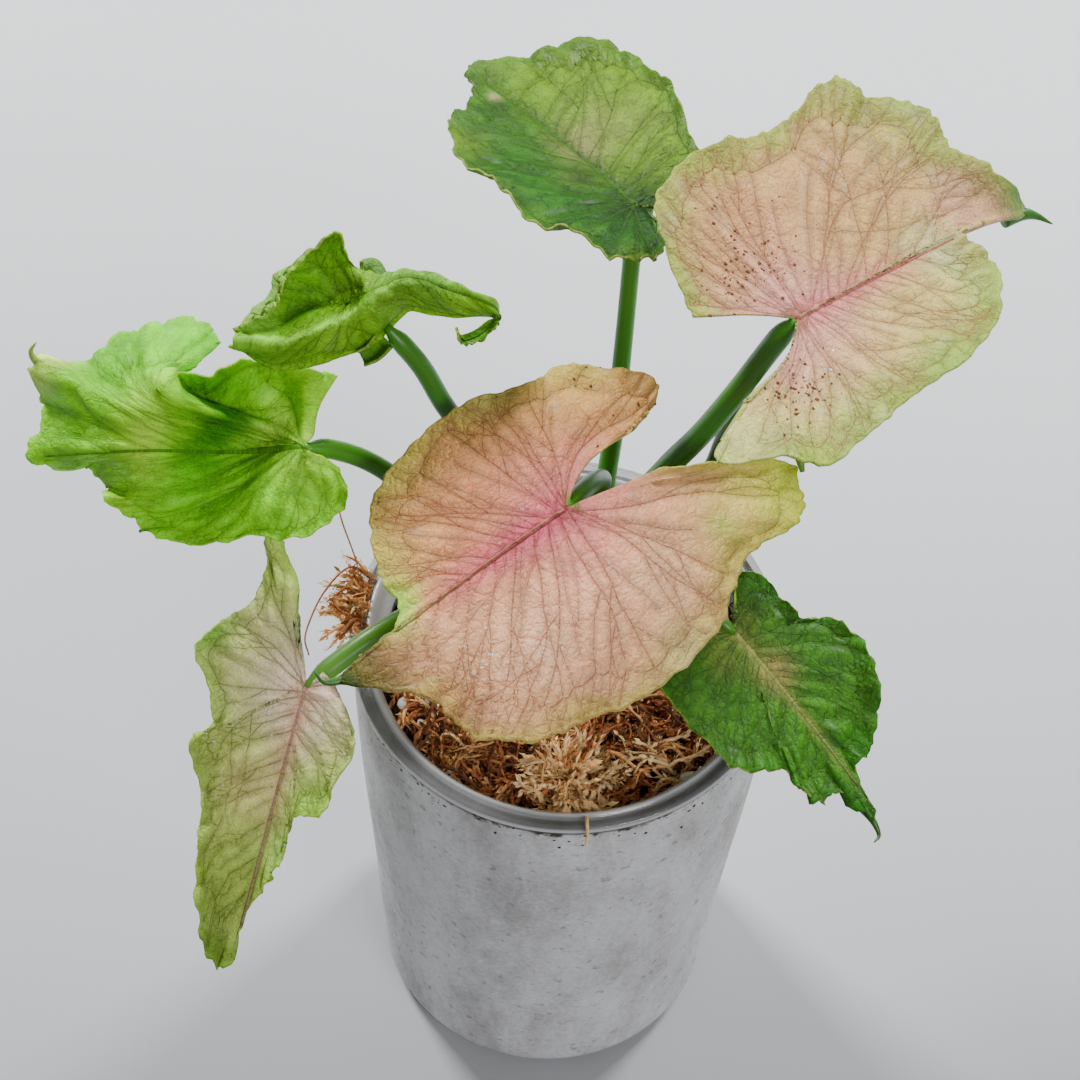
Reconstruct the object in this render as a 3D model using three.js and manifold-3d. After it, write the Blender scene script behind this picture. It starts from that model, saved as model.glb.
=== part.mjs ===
// Potted arrowhead plant (Syngonium podophyllum, a pink and green leaved form) in a 90 mm pot.
// Millimetres, +Z up. The origin is the middle of the pot's flat base. +X is to the right and +Y is
// away from someone who looks down at the front of the plant.
//
// A speckled outer pot holds a clear nursery cup that hangs in it by its rolled lip. Moss fills the
// cup, a short stem stands in a plain hole in the moss, and seven leaves and one rolled young leaf
// rise from the stem. A leaf is one solid: its petiole grows into its blade.

import * as THREE from 'three';
import { mergeVertices } from 'three/addons/utils/BufferGeometryUtils.js';
import Module from 'manifold-3d';

const wasm = await Module();
wasm.setup();

// Driving dimensions

const CLEARANCE = 0.3;          // between pieces that touch

const POT_HEIGHT = 127.5;
const POT_BASE_RADIUS = 38;
const POT_TOP_RADIUS = 44.3;
const POT_WALL = 3.1;
const POT_FLOOR = 5;
const POT_FOOT_ROUNDING = 6;
const POT_SIDES = 44;

const LIP_TOP = 130;
const LIP_RADIUS = 45;
const CUP_TOP_RADIUS = 40.7;
const CUP_BASE_RADIUS = 34;
const CUP_BOTTOM = 9;
const CUP_WALL = 0.9;

const MOSS_LEVEL = 118;
const MOSS_SIDES = 36;
const MOSS_RINGS = 8;

const STEM_AXIS = [3, 17];
const STEM_RADIUS = 6;
const STEM_FOOT = 96;
const STEM_TOP = 137;
const STEM_SIDES = 14;

const BLADE_THICKNESS = 0.8;
const BLADE_RINGS = [0, 0.3, 0.58, 0.82, 1];     // shares of the way from the junction to the margin
const SPANS_PER_POINT = 2;      // blade columns between two points of an outline
const LIFT_POWER = 6;           // an outline's lift is kept to the outer part of the blade
const SINUS_LENGTH = 21;        // how far behind the junction a sinus bows its edges
const SINUS_REACH = 8;          // how far beside the midrib's line it does so

const PETIOLE_TIP_SHARE = 0.9;     // of the petiole's width at its base
const PETIOLE_SIDES = 8;
const PETIOLE_BASE_HEIGHT = 123.5;
const PETIOLE_CLASP = 4;          // how far a petiole rises close along the stem

// Colours

const LEAF_GREEN = 0x5f8f2e;
const LEAF_PINK = 0xc79a86;
const STEM_GREEN = 0x4e7a33;
const MOSS_BROWN = 0x8a5c35;
const POT_GREY = 0xaaa8aa;
const CUP_CLEAR = 0xc3c6c8;

// The leaves.
//
// A leaf's own frame stands at the junction of blade and petiole: along points down the midrib to
// the tip, left points to the left of it and up is the blade's upper side. heading turns along from
// +X towards +Y, pitch lifts the tip, and bank lifts the left half, all in degrees.
//
// An outline runs from the left basal lobe's inner edge round the tip to the right lobe's inner edge.
// Its points are [along, left] in millimetres, and a third number lifts the margin there. Between the
// junction and the margin the blade rises with fold (mm per mm across), and falls with sag and arch
// (mm at 10 mm along or across, growing with the square). ruffles are [how many, how high]. sinus bows
// the inner edges of the left and right basal lobes apart. Seen from the junction, an outline never
// turns back, so that the blade doesn't fold over itself.
//
// The two crumpled leaves have columns instead: each is the run of points that the blade passes on
// its way from the junction, or from the near margin, to the far margin: down a valley, over a crest.

const LEAVES = [
  {
    name: 'leaf_top', colour: LEAF_GREEN,
    junction: [8, 63, 196], heading: 126, pitch: -14, bank: 6,
    fold: 0.22, sag: 0.15, arch: 0, ruffles: [9, 0.8],
    outline: [
      [-5, -1], [-11, 1], [-16, 4], [-19, 9], [-19, 14], [-15, 16], [-8, 17], [-4, 22], [2, 25],
      [10, 24], [18, 24], [24, 26], [34, 23], [43, 19], [50, 10], [58, 4], [68, -1], [62, -8],
      [58, -16], [51, -23], [42, -26], [30, -26], [20, -24], [7, -19], [-4, -18], [-12, -15],
      [-14, -9], [-9, -5],
    ],
    petioleAngle: 68, petioleWidth: 4.2,
    route: [[6, 31, 140], [7, 38, 151], [7.5, 45, 162], [8, 57, 184]],
  },
  {
    name: 'leaf_right', colour: LEAF_PINK,
    junction: [40, 27, 210], heading: 40, pitch: -6, bank: 8,
    fold: 0.05, sag: 0.1, arch: 0, ruffles: [7, 0.6], sinus: [2, 4.6],
    outline: [
      [-19, 10], [-18, 15], [-14, 27], [-10, 35], [-1, 40], [12, 40], [19, 38], [28, 39], [37, 42],
      [44, 42], [46, 37], [55, 31], [58, 25], [56, 17], [62, 9], [68, 2, -9], [57, 1.3, -3], [50, 0.9, -1.4],
      [44, 0, -0.6], [46, -4], [45, -11], [37, -20], [22, -25], [8, -26], [-3, -28], [-17, -30], [-22, -25],
      [-34, -19.5], [-33, -16.5], [-21, -10],
    ],
    petioleAngle: 28, petioleWidth: 5.2,
    route: [[12, 21, 148], [18, 22, 163], [24, 22, 176], [30, 23, 190], [37, 26, 205]],
  },
  {
    name: 'leaf_centre', colour: LEAF_PINK,
    junction: [-2, 1, 178], heading: 219, pitch: -9, bank: -4,
    fold: 0, sag: 0.12, arch: 0.25, ruffles: [8, 0.6], sinus: [0, 4],
    outline: [
      [-20, 5, 1], [-27, 9.3, 2], [-36, 14, 2], [-42, 19], [-39, 27], [-34, 30], [-24, 29], [-16, 34],
      [-7, 39], [8, 41], [22, 38], [32, 36], [42, 29], [44, 22], [47, 13], [57, 1, -2], [44, 0],
      [39, -4], [38, -12], [33, -22], [25, -29], [12, -32], [2, -32], [-10, -28], [-18, -27],
      [-24, -22], [-31, -13], [-29, -9], [-20, -5],
    ],
    petioleAngle: 110, petioleWidth: 4.4,
    route: [[3, 25, 142], [5, 21, 158], [3, 12, 171]],
  },
  {
    name: 'leaf_lower_left', colour: LEAF_GREEN,
    junction: [-52, -22, 141], heading: 254, pitch: -40, bank: 0,
    fold: 0.3, sag: 0.1, arch: 0, ruffles: [8, 0.5],
    outline: [
      [-4, 3], [-2, 6], [3, 11], [9, 14], [17, 12], [24, 11], [27, 5], [35, 5], [42, 3.5], [49, 0.5],
      [63, -1], [60, -6], [50, -10], [40, -12], [29, -14], [18, -19], [13, -16], [6, -18], [-2, -23],
      [-8, -20], [-14, -15], [-21, -14, -2], [-28, -15.5, -4], [-24, -11, -3], [-10, -4],
    ],
    petioleAngle: 232, petioleWidth: 4.8,
    route: [[-11, 10, 137], [-22, 2, 143], [-30, -5, 146], [-39, -12, 146], [-47, -18, 143]],
  },
  {
    name: 'leaf_lower_right', colour: LEAF_GREEN,
    junction: [34, -4, 143], heading: 318, pitch: -18, bank: 0,
    fold: 0.1, sag: 0.3, arch: 0, ruffles: [7, 0.6],
    outline: [
      [-4, 3.5], [-9, 9], [-5, 13], [2, 13], [7, 13.5], [12, 19], [20, 20], [29, 16], [36, 8],
      [38, 2], [48, -2], [39, -4.5], [38, -10], [34, -12], [28, -11.2], [25, -17], [19, -22],
      [9, -22], [-1, -22], [-9, -18], [-12, -11], [-8, -6],
    ],
    petioleAngle: 305, petioleWidth: 4.2,
    route: [[14, 8, 136], [25, 2, 142], [31, -2, 144]],
  },
  {
    name: 'leaf_left', colour: LEAF_GREEN,
    junction: [-55, 14, 174], heading: 180, pitch: 0, bank: 0, ruffles: [9, 0.3],
    columns: [
      [[-2, 1, -1], [-4, 1, -2], [-7, 1, -6]],
      [[-2, 3, -2], [-5, 4, -5], [-9, 5, -10]],
      [[0, 4, -4], [-3, 7, -8], [-5, 11, -12]],
      [[2, 6, -5], [2, 10, -9], [2, 14, -13]],
      [[5, 6, -6], [7, 11, -10], [10, 14, -13]],
      [[8, 6, -7], [13, 12, -11], [19, 15, -15]],
      [[10, 6, -8], [19, 11, -12], [30, 14, -16]],
      [[12, 4, -9], [24, 10, -11], [34, 11, -13]],
      [[13, 2, -9], [28, 10, -7], [40, 9, -10]],
      [[14, 0, -9], [30, 9, -4], [39, 5, -13]],
      [[14, -2, -9], [32, 6, 0], [45, -1, -13]],
      [[14, -3, -8], [32, 5, 2], [57, -2, -14]],
      [[13, -4, -7], [32, 3, 5], [54, -10, -7]],
      [[13, -5, -6], [31, 2, 8], [57, -15, 3]],
      [[12, -5, -6], [30, 1, 10], [48, -16, 0]],
      [[11, -5, -5], [30, -1, 11], [40, -22, 2]],
      [[11, -6, -5], [29, -2, 12], [32, -25, 4]],
      [[10, -6, -4], [28, -2, 13], [23, -26, 4]],
      [[9, -6, -4], [27, -3, 13], [19, -20, 6]],
      [[8, -7, -3], [21, -10, -2], [27, -8, 14]],
      [[7, -8, -3], [18, -11, -4], [21, -10, 10]],
      [[5, -9, -2], [12, -12, 0], [13, -13, 12]],
      [[3, -10, 0], [5, -14, 3], [7, -13, 11]],
      [[0, -6, 2], [0, -9, 6], [-1, -12, 11]],
      [[-2, -3, 1], [-3, -7, 5], [-6, -12, 9]],
    ],
    petioleAngle: 190, petioleWidth: 4.6,
    route: [[-15, 16, 142], [-29, 16, 153], [-41, 18, 163], [-49, 17, 169]],
  },
  {
    name: 'leaf_upper_left', colour: LEAF_GREEN,
    junction: [-37, 29, 195], heading: 180, pitch: 0, bank: 0, ruffles: [7, 0.2],
    petioleEnd: [3, -3, -3],
    columns: [
      [[33, 5, -1], [32, 6, 1], [32, 7, 2], [32, 5, 2], [33, 4, 3], [31, 5, 4]],
      [[29, 6, -4], [28, 7, 0], [27, 7, 3], [25, 3, 0], [29, 1, 4], [25, 4, 8]],
      [[24, 7, -6], [23, 8, 0], [23, 8, 4], [22, -1, -1], [26, -2, 7], [23, 1, 10]],
      [[19, 5, -7], [18, 6, 0], [18, 6, 5], [18, -4, 0], [24, -5, 9], [22, -2, 12]],
      [[14, 3, -7], [13, 4, 0], [13, 4, 6], [14, -5, 2], [19, -8, 10], [18, -7, 14]],
      [[9, 1, -7], [10, 2, 0], [10, 2, 6], [11, -7, 3], [14, -9, 11], [13, -10, 18]],
      [[5, -1, -6], [6, 0, 1], [7, -1, 7], [8, -7, 4], [11, -9, 7], [11, -9, 11]],
      [[3, -3, -5], [3, -3, 1], [4, -3, 7], [4, -8, 6], [6, -12, 2], [8, -13, -1]],
      [[-1, -7, -3], [-1, -6, 2], [0, -6, 7], [1, -9, 7], [2, -12, 1], [2, -13, -6]],
      [[-6, -8, -5], [-5, -7, 0], [-5, -7, 5], [-3, -10, 6], [-3, -13, 0], [-3, -14, -6]],
      [[-11, -9, -7], [-10, -8, -3], [-9, -7, 2], [-8, -10, 4], [-8, -13, -1], [-8, -13, -5]],
      [[-15, -11, -9], [-15, -10, -6], [-14, -9, -2], [-13, -10, 1], [-13, -12, -3], [-13, -12, -6]],
      [[-19, -11, -9], [-19, -10, -7], [-19, -9, -5], [-18, -11, -4], [-18, -13, -6], [-18, -14, -8]],
      // The drawn-out tip hangs from here and hooks back.
      [[-17, -11, -10], [-19, -10, -9]],
      [[-14.5, -10.5, -13], [-17, -8.5, -12]],
      [[-11.5, -10.5, -15], [-13, -8.5, -15.5]],
      [[-10, -10.5, -13], [-10.5, -9.5, -13.5]],
    ],
    petioleAngle: 150, petioleWidth: 4.6,
    route: [[-9, 22, 146], [-18, 24, 159], [-27, 27, 171], [-33, 30, 182]],
  },
];

const YOUNG_LEAF = {
  angle: -10,
  route: [[18, 19, 146], [26, 23, 160], [30, 26, 170], [34, 27, 180], [39, 22, 186], [42, 16, 185], [44, 11, 181]],
  // Half the width of the stalk and of the rolled blade at its end, along the route.
  radii: [2, 1.5, 1.4, 1.3, 1.6, 2.8, 3, 2.2, 0.5],
};

// Small helpers

function catmull(points, u) {
  // A point on the Catmull-Rom curve through points, u from 0 to 1. Points may have any length.
  const spans = points.length - 1;
  const place = Math.min(Math.max(u, 0), 1) * spans;
  const span = Math.min(Math.floor(place), spans - 1);
  const f = place - span;
  const b = points[span];
  const c = points[span + 1];
  const a = span > 0 ? points[span - 1] : b.map((v, i) => 2 * v - c[i]);
  const d = span < spans - 1 ? points[span + 2] : c.map((v, i) => 2 * v - b[i]);
  return b.map((v, i) => 0.5 * (
    2 * v + (c[i] - a[i]) * f
    + (2 * a[i] - 5 * v + 4 * c[i] - d[i]) * f * f
    + (3 * v - a[i] - 3 * c[i] + d[i]) * f * f * f));
}

function indexed(positions, triangles) {
  const geometry = new THREE.BufferGeometry();
  geometry.setAttribute('position', new THREE.Float32BufferAttribute(positions.flat(), 3));
  geometry.setIndex(triangles.flat());
  return geometry;
}

function toManifold(geometry) {
  const bare = geometry.clone();
  bare.deleteAttribute('normal');
  bare.deleteAttribute('uv');
  const merged = mergeVertices(bare, 1e-4);
  return new wasm.Manifold(new wasm.Mesh({
    numProp: 3,
    vertProperties: new Float32Array(merged.attributes.position.array),
    triVerts: new Uint32Array(merged.index.array),
  }));
}

function fromManifold(solid) {
  const { vertProperties, triVerts, numProp } = solid.getMesh();
  const positions = new Float32Array(vertProperties.length / numProp * 3);
  for (let i = 0; i < positions.length / 3; i++) {
    positions.set(vertProperties.subarray(i * numProp, i * numProp + 3), i * 3);
  }
  const geometry = new THREE.BufferGeometry();
  geometry.setAttribute('position', new THREE.BufferAttribute(positions, 3));
  geometry.setIndex([...triVerts]);
  return geometry;
}

function lathe(profile, sides) {
  // Turns [radius, height] points round +Z. The profile runs up the outside and down the inside.
  const points = profile.map(([radius, height]) => new THREE.Vector2(radius, height));
  return new THREE.LatheGeometry(points, sides).rotateX(Math.PI / 2);
}

// Pot and cup

function arc(centreR, centreZ, radius, from, to, steps) {
  return Array.from({ length: steps + 1 }, (_, i) => {
    const angle = THREE.MathUtils.degToRad(from + (to - from) * i / steps);
    return [centreR + radius * Math.cos(angle), centreZ + radius * Math.sin(angle)];
  });
}

function outerPot() {
  // Gently rounded sides: widest just under the lip, with a rounded foot.
  const foot = arc(POT_BASE_RADIUS - POT_FOOT_ROUNDING, POT_FOOT_ROUNDING, POT_FOOT_ROUNDING, -90, 0, 4);
  const wallTop = POT_TOP_RADIUS - POT_WALL;
  return lathe([
    [0, 0], ...foot,
    [40, 0.35 * POT_HEIGHT], [42.3, 0.62 * POT_HEIGHT], [43.7, 0.82 * POT_HEIGHT],
    [POT_TOP_RADIUS, POT_HEIGHT - 1], [POT_TOP_RADIUS - 0.8, POT_HEIGHT], [wallTop, POT_HEIGHT],
    [wallTop - 1.4, 0.7 * POT_HEIGHT], [POT_BASE_RADIUS - POT_WALL, 2 * POT_FLOOR],
    [POT_BASE_RADIUS - POT_WALL - 4, POT_FLOOR], [0, POT_FLOOR],
  ], POT_SIDES);
}

function nurseryCup() {
  // A thin clear cup. Its lip is rolled outwards over the pot's top edge.
  const lipFoot = POT_HEIGHT + CLEARANCE;
  const lipRounding = (LIP_TOP - lipFoot) / 2;
  const roll = arc(LIP_RADIUS - lipRounding, LIP_TOP - lipRounding, lipRounding, -90, 90, 4);
  return lathe([
    [0, CUP_BOTTOM], [CUP_BASE_RADIUS - 2, CUP_BOTTOM], [CUP_BASE_RADIUS, CUP_BOTTOM + 2],
    [CUP_TOP_RADIUS, lipFoot - 1], [CUP_TOP_RADIUS + 0.4, lipFoot], ...roll,
    [CUP_TOP_RADIUS + 0.4, LIP_TOP - 0.6], [CUP_TOP_RADIUS - CUP_WALL, LIP_TOP - 2],
    [CUP_BASE_RADIUS - CUP_WALL, CUP_BOTTOM + 2.4], [CUP_BASE_RADIUS - 2.4, CUP_BOTTOM + CUP_WALL],
    [0, CUP_BOTTOM + CUP_WALL],
  ], POT_SIDES);
}

// Moss

// Clumps on the moss: [x, y, how wide, how high].
const CLUMPS = [
  [3, -31, 9, 7], [-16, -26, 10, 3], [22, -25, 9, 4], [-30, -10, 8, 3], [32, -8, 8, 2],
  [-12, -8, 8, 2.5], [12, -12, 7, 3], [-24, 20, 9, 2], [26, 18, 8, 2], [4, 36, 9, -4],
];

function mossHeight(x, y) {
  const rough = 0.8 * Math.sin(0.31 * x + 0.9) * Math.cos(0.27 * y) + 0.5 * Math.sin(0.55 * x - 0.43 * y);
  const clumps = CLUMPS.map(([cx, cy, wide, high]) =>
    high * Math.exp(-((x - cx) ** 2 + (y - cy) ** 2) / (wide * wide)));
  return MOSS_LEVEL + rough + clumps.reduce((sum, h) => sum + h, 0);
}

function cupInnerRadius(height) {
  const share = (height - CUP_BOTTOM) / (LIP_TOP - CUP_BOTTOM);
  return CUP_BASE_RADIUS + (CUP_TOP_RADIUS - CUP_BASE_RADIUS) * share - CUP_WALL;
}

function mossBed() {
  const floor = CUP_BOTTOM + CUP_WALL + CLEARANCE;
  const topRadius = cupInnerRadius(MOSS_LEVEL) - 2 * CLEARANCE;
  const footRadius = cupInnerRadius(floor) - 2.5;
  const positions = [[0, 0, mossHeight(0, 0)]];
  const ringPoint = (radius, side, height) => {
    const angle = 2 * Math.PI * side / MOSS_SIDES;
    const x = radius * Math.cos(angle);
    const y = radius * Math.sin(angle);
    return [x, y, height ?? mossHeight(x, y)];
  };
  for (let ring = 1; ring <= MOSS_RINGS; ring++) {
    for (let side = 0; side < MOSS_SIDES; side++) {
      positions.push(ringPoint(topRadius * ring / MOSS_RINGS, side));
    }
  }
  for (let side = 0; side < MOSS_SIDES; side++) {
    positions.push(ringPoint(footRadius, side, floor));
  }
  positions.push([0, 0, floor]);
  const id = (ring, side) => ring === 0 ? 0 : 1 + (ring - 1) * MOSS_SIDES + side % MOSS_SIDES;
  const lastRing = MOSS_RINGS + 1;
  const foot = positions.length - 1;
  const triangles = [];
  for (let side = 0; side < MOSS_SIDES; side++) {
    triangles.push([0, id(1, side), id(1, side + 1)]);
    for (let ring = 1; ring < lastRing; ring++) {
      triangles.push([id(ring, side), id(ring + 1, side), id(ring + 1, side + 1)]);
      triangles.push([id(ring, side), id(ring + 1, side + 1), id(ring, side + 1)]);
    }
    triangles.push([id(lastRing, side), foot, id(lastRing, side + 1)]);
  }
  const holeDepth = STEM_TOP - STEM_FOOT;
  const hole = new THREE.CylinderGeometry(STEM_RADIUS + CLEARANCE, STEM_RADIUS + CLEARANCE, holeDepth, STEM_SIDES);
  hole.rotateX(Math.PI / 2);
  hole.translate(STEM_AXIS[0], STEM_AXIS[1], STEM_FOOT - CLEARANCE + holeDepth / 2);
  return fromManifold(toManifold(indexed(positions, triangles)).subtract(toManifold(hole)));
}

// Stem, petioles and blades

function stem() {
  const shoulder = STEM_TOP - 6;
  const geometry = lathe([
    [0, STEM_FOOT], [STEM_RADIUS - 1, STEM_FOOT], [STEM_RADIUS, STEM_FOOT + 2],
    [STEM_RADIUS, shoulder], [STEM_RADIUS - 2.4, STEM_TOP - 1.5], [0, STEM_TOP],
  ], STEM_SIDES);
  return geometry.translate(STEM_AXIS[0], STEM_AXIS[1], 0);
}

function taperedTube(route, radii, sides, steps) {
  // A round tube along a smooth route, closed at both ends.
  const curve = new THREE.CatmullRomCurve3(route.map((p) => new THREE.Vector3(...p)), false, 'catmullrom', 0.5);
  const frames = curve.computeFrenetFrames(steps, false);
  const radiusPoints = radii.map((radius) => [radius]);
  const positions = [];
  for (let step = 0; step <= steps; step++) {
    const centre = curve.getPointAt(step / steps);
    const [radius] = catmull(radiusPoints, step / steps);
    for (let side = 0; side < sides; side++) {
      const angle = 2 * Math.PI * side / sides;
      const point = centre.clone()
        .addScaledVector(frames.normals[step], radius * Math.cos(angle))
        .addScaledVector(frames.binormals[step], radius * Math.sin(angle));
      positions.push(point.toArray());
    }
  }
  const first = positions.push(curve.getPointAt(0).toArray()) - 1;
  const last = positions.push(curve.getPointAt(1).toArray()) - 1;
  const id = (step, side) => step * sides + side % sides;
  const triangles = [];
  for (let side = 0; side < sides; side++) {
    triangles.push([first, id(0, side + 1), id(0, side)]);
    for (let step = 0; step < steps; step++) {
      triangles.push([id(step, side), id(step, side + 1), id(step + 1, side + 1)]);
      triangles.push([id(step, side), id(step + 1, side + 1), id(step + 1, side)]);
    }
    triangles.push([last, id(steps, side), id(steps, side + 1)]);
  }
  return indexed(positions, triangles);
}

function petioleFoot(angle, radius) {
  // The petioles stand round the stem, just clear of it, and first rise close along it.
  const reach = STEM_RADIUS + radius + CLEARANCE;
  const turn = THREE.MathUtils.degToRad(angle);
  const x = STEM_AXIS[0] + reach * Math.cos(turn);
  const y = STEM_AXIS[1] + reach * Math.sin(turn);
  return [[x, y, PETIOLE_BASE_HEIGHT], [x, y, PETIOLE_BASE_HEIGHT + PETIOLE_CLASP]];
}

function leafPlacement({ junction, heading, pitch, bank }) {
  const radians = THREE.MathUtils.degToRad;
  const along = new THREE.Vector3(
    Math.cos(radians(heading)) * Math.cos(radians(pitch)),
    Math.sin(radians(heading)) * Math.cos(radians(pitch)),
    Math.sin(radians(pitch)));
  const level = new THREE.Vector3(-Math.sin(radians(heading)), Math.cos(radians(heading)), 0);
  const left = level.applyAxisAngle(along, radians(bank));
  const up = new THREE.Vector3().crossVectors(along, left);
  return new THREE.Matrix4().makeBasis(along, left, up).setPosition(...junction);
}

function sinusBow([leftBow, rightBow], along, left) {
  if (along > 0) return 0;
  const bow = left > 0 ? leftBow : -rightBow;
  return bow * Math.sin(Math.PI * Math.min(-along / SINUS_LENGTH, 1)) * Math.exp(-Math.abs(left) / SINUS_REACH);
}

function bladePoint(leaf, s, t) {
  // A point of the blade in the leaf's own frame: s runs round the margin, t out to it.
  const [count, height] = leaf.ruffles;
  const ruffle = height * t ** 4 * Math.sin(2 * Math.PI * count * s);
  if (leaf.columns) {
    const column = leaf.columns.map((points) => catmull(leaf.petioleEnd ? points : [[0, 0, 0], ...points], t));
    const [along, left, up] = catmull(column, s);
    return [along, left, up + ruffle];
  }
  const [edgeAlong, edgeLeft, edgeLift] = catmull(leaf.outline.map(([a, l, lift = 0]) => [a, l, lift]), s);
  const along = edgeAlong * t;
  const left = edgeLeft * t;
  const droop = (along > 0 ? leaf.sag : 0.6 * leaf.sag) * along * along / 100;
  const rise = leaf.fold * Math.abs(left) - leaf.arch * left * left / 100;
  const bow = sinusBow(leaf.sinus ?? [0, 0], along, left);
  return [along, left + bow, rise - droop + edgeLift * t ** LIFT_POWER + ruffle];
}

function blade(leaf) {
  // The upper face is a fan of rings and columns. The lower face is the same triangles moved down
  // by the blade's thickness, and a narrow wall joins the two all round the margin.
  const pole = !leaf.petioleEnd;
  const points = leaf.columns ?? leaf.outline;
  const columns = (points.length - 1) * SPANS_PER_POINT;
  const rings = BLADE_RINGS;
  const top = pole ? [bladePoint(leaf, 0, 0)] : [];
  const id = (ring, column) => {
    if (!pole) return ring * (columns + 1) + column;
    return ring === 0 ? 0 : 1 + (ring - 1) * (columns + 1) + column;
  };
  for (let ring = pole ? 1 : 0; ring < rings.length; ring++) {
    for (let column = 0; column <= columns; column++) {
      top.push(bladePoint(leaf, column / columns, rings[ring]));
    }
  }
  const faces = [];
  for (let ring = 0; ring < rings.length - 1; ring++) {
    for (let column = 0; column < columns; column++) {
      const near = id(ring, column);
      const nearNext = id(ring, column + 1);
      const far = id(ring + 1, column);
      const farNext = id(ring + 1, column + 1);
      if (near !== nearNext) faces.push([near, nearNext, farNext]);
      faces.push([near, farNext, far]);
    }
  }
  const sheet = indexed(top, faces);
  sheet.computeVertexNormals();
  const normals = sheet.attributes.normal;
  const bottom = top.map(([x, y, z], i) => [
    x - normals.getX(i) * BLADE_THICKNESS,
    y - normals.getY(i) * BLADE_THICKNESS,
    z - normals.getZ(i) * BLADE_THICKNESS,
  ]);
  const under = top.length;
  const triangles = [...faces, ...faces.map(([a, b, c]) => [c + under, b + under, a + under])];
  const edges = new Set(faces.flatMap(([a, b, c]) => [`${a},${b}`, `${b},${c}`, `${c},${a}`]));
  for (const edge of edges) {
    const [a, b] = edge.split(',').map(Number);
    if (edges.has(`${b},${a}`)) continue;
    triangles.push([b, a, a + under], [b, a + under, b + under]);
  }
  return indexed([...top, ...bottom], triangles).applyMatrix4(leafPlacement(leaf));
}

function leafSolid(leaf) {
  const [x, y, z] = leaf.petioleEnd ?? [0, 0, 0];
  const end = new THREE.Vector3(x, y, z - BLADE_THICKNESS / 2).applyMatrix4(leafPlacement(leaf));
  const radius = leaf.petioleWidth / 2;
  const route = [...petioleFoot(leaf.petioleAngle, radius), ...leaf.route, end.toArray()];
  const radii = [radius, radius, PETIOLE_TIP_SHARE * radius, PETIOLE_TIP_SHARE * radius];
  const petiole = taperedTube(route, radii, PETIOLE_SIDES, 2 * route.length);
  return fromManifold(toManifold(blade(leaf)).add(toManifold(petiole)));
}

function youngLeaf() {
  const route = [...petioleFoot(YOUNG_LEAF.angle, YOUNG_LEAF.radii[0]), ...YOUNG_LEAF.route];
  return taperedTube(route, YOUNG_LEAF.radii, PETIOLE_SIDES, 3 * route.length);
}

// The assembly

const plant = new THREE.Group();

function add(name, geometry, color, roughness, transparent = false) {
  const material = new THREE.MeshStandardMaterial({ color, roughness, metalness: 0 });
  material.transparent = transparent;
  material.opacity = transparent ? 0.4 : 1;
  const mesh = new THREE.Mesh(geometry, material);
  mesh.name = name;
  plant.add(mesh);
}

add('outer_pot', outerPot(), POT_GREY, 0.85);
add('nursery_cup', nurseryCup(), CUP_CLEAR, 0.2, true);
add('moss_bed', mossBed(), MOSS_BROWN, 0.95);
add('stem', stem(), STEM_GREEN, 0.5);
for (const leaf of LEAVES) {
  add(leaf.name, leafSolid(leaf), leaf.colour, 0.45);
}
add('young_leaf', youngLeaf(), STEM_GREEN, 0.45);

export default plant;
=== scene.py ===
# %% [markdown]
# A potted arrowhead plant: seven leaves and a rolled young leaf in a clear nursery cup that hangs in
# a speckled grey pot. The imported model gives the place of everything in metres. Its solids are coarse,
# so each is replaced here by a finer piece of the same form, and loose moss, veins, drops and all colour
# are added.

# %% Load the frame
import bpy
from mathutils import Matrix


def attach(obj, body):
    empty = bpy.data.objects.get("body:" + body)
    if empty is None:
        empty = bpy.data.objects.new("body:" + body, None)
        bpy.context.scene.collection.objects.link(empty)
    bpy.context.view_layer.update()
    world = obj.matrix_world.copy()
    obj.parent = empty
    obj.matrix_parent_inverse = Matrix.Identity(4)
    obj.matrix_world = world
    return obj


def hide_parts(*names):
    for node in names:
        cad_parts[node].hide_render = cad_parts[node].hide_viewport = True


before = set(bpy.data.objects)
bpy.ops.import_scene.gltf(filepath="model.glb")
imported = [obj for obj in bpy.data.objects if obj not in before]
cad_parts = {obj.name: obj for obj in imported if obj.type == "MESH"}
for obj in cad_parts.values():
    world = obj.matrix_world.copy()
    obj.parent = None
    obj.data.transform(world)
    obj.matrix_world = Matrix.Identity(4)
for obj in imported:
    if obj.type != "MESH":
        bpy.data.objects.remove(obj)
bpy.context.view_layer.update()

import math
import random

import bmesh
import bpy
import numpy as np
from mathutils import Matrix, Vector, kdtree

MM = 0.001

# %% [markdown]
# The camera looks down steeply from in front of the pot. Its place was worked out from the ellipse of
# the cup's lip, and a long lens keeps the leaves in proportion. A camera looks along its own -Z, so the
# third axis of its matrix points back, away from what it sees.

# %% Camera
CAMERA_PLACE = Vector((-0.006826, -0.387906, 0.772206))
CAMERA_RIGHT = Vector((0.99785, 0.05521, 0.03539))
CAMERA_UP = Vector((-0.06558, 0.84008, 0.53849))
CAMERA_ANGLE = math.radians(17)

camera_data = bpy.data.cameras.new("camera")
camera_data.angle = CAMERA_ANGLE
camera_data.dof.use_dof = False
camera = bpy.data.objects.new("camera", camera_data)
camera_turn = Matrix((CAMERA_RIGHT, CAMERA_UP, CAMERA_RIGHT.cross(CAMERA_UP))).transposed()
camera.matrix_world = Matrix.Translation(CAMERA_PLACE) @ camera_turn.to_4x4()
bpy.context.collection.objects.link(camera)
bpy.context.scene.camera = camera
print("camera lens", round(camera_data.lens, 1), "mm")

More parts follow.
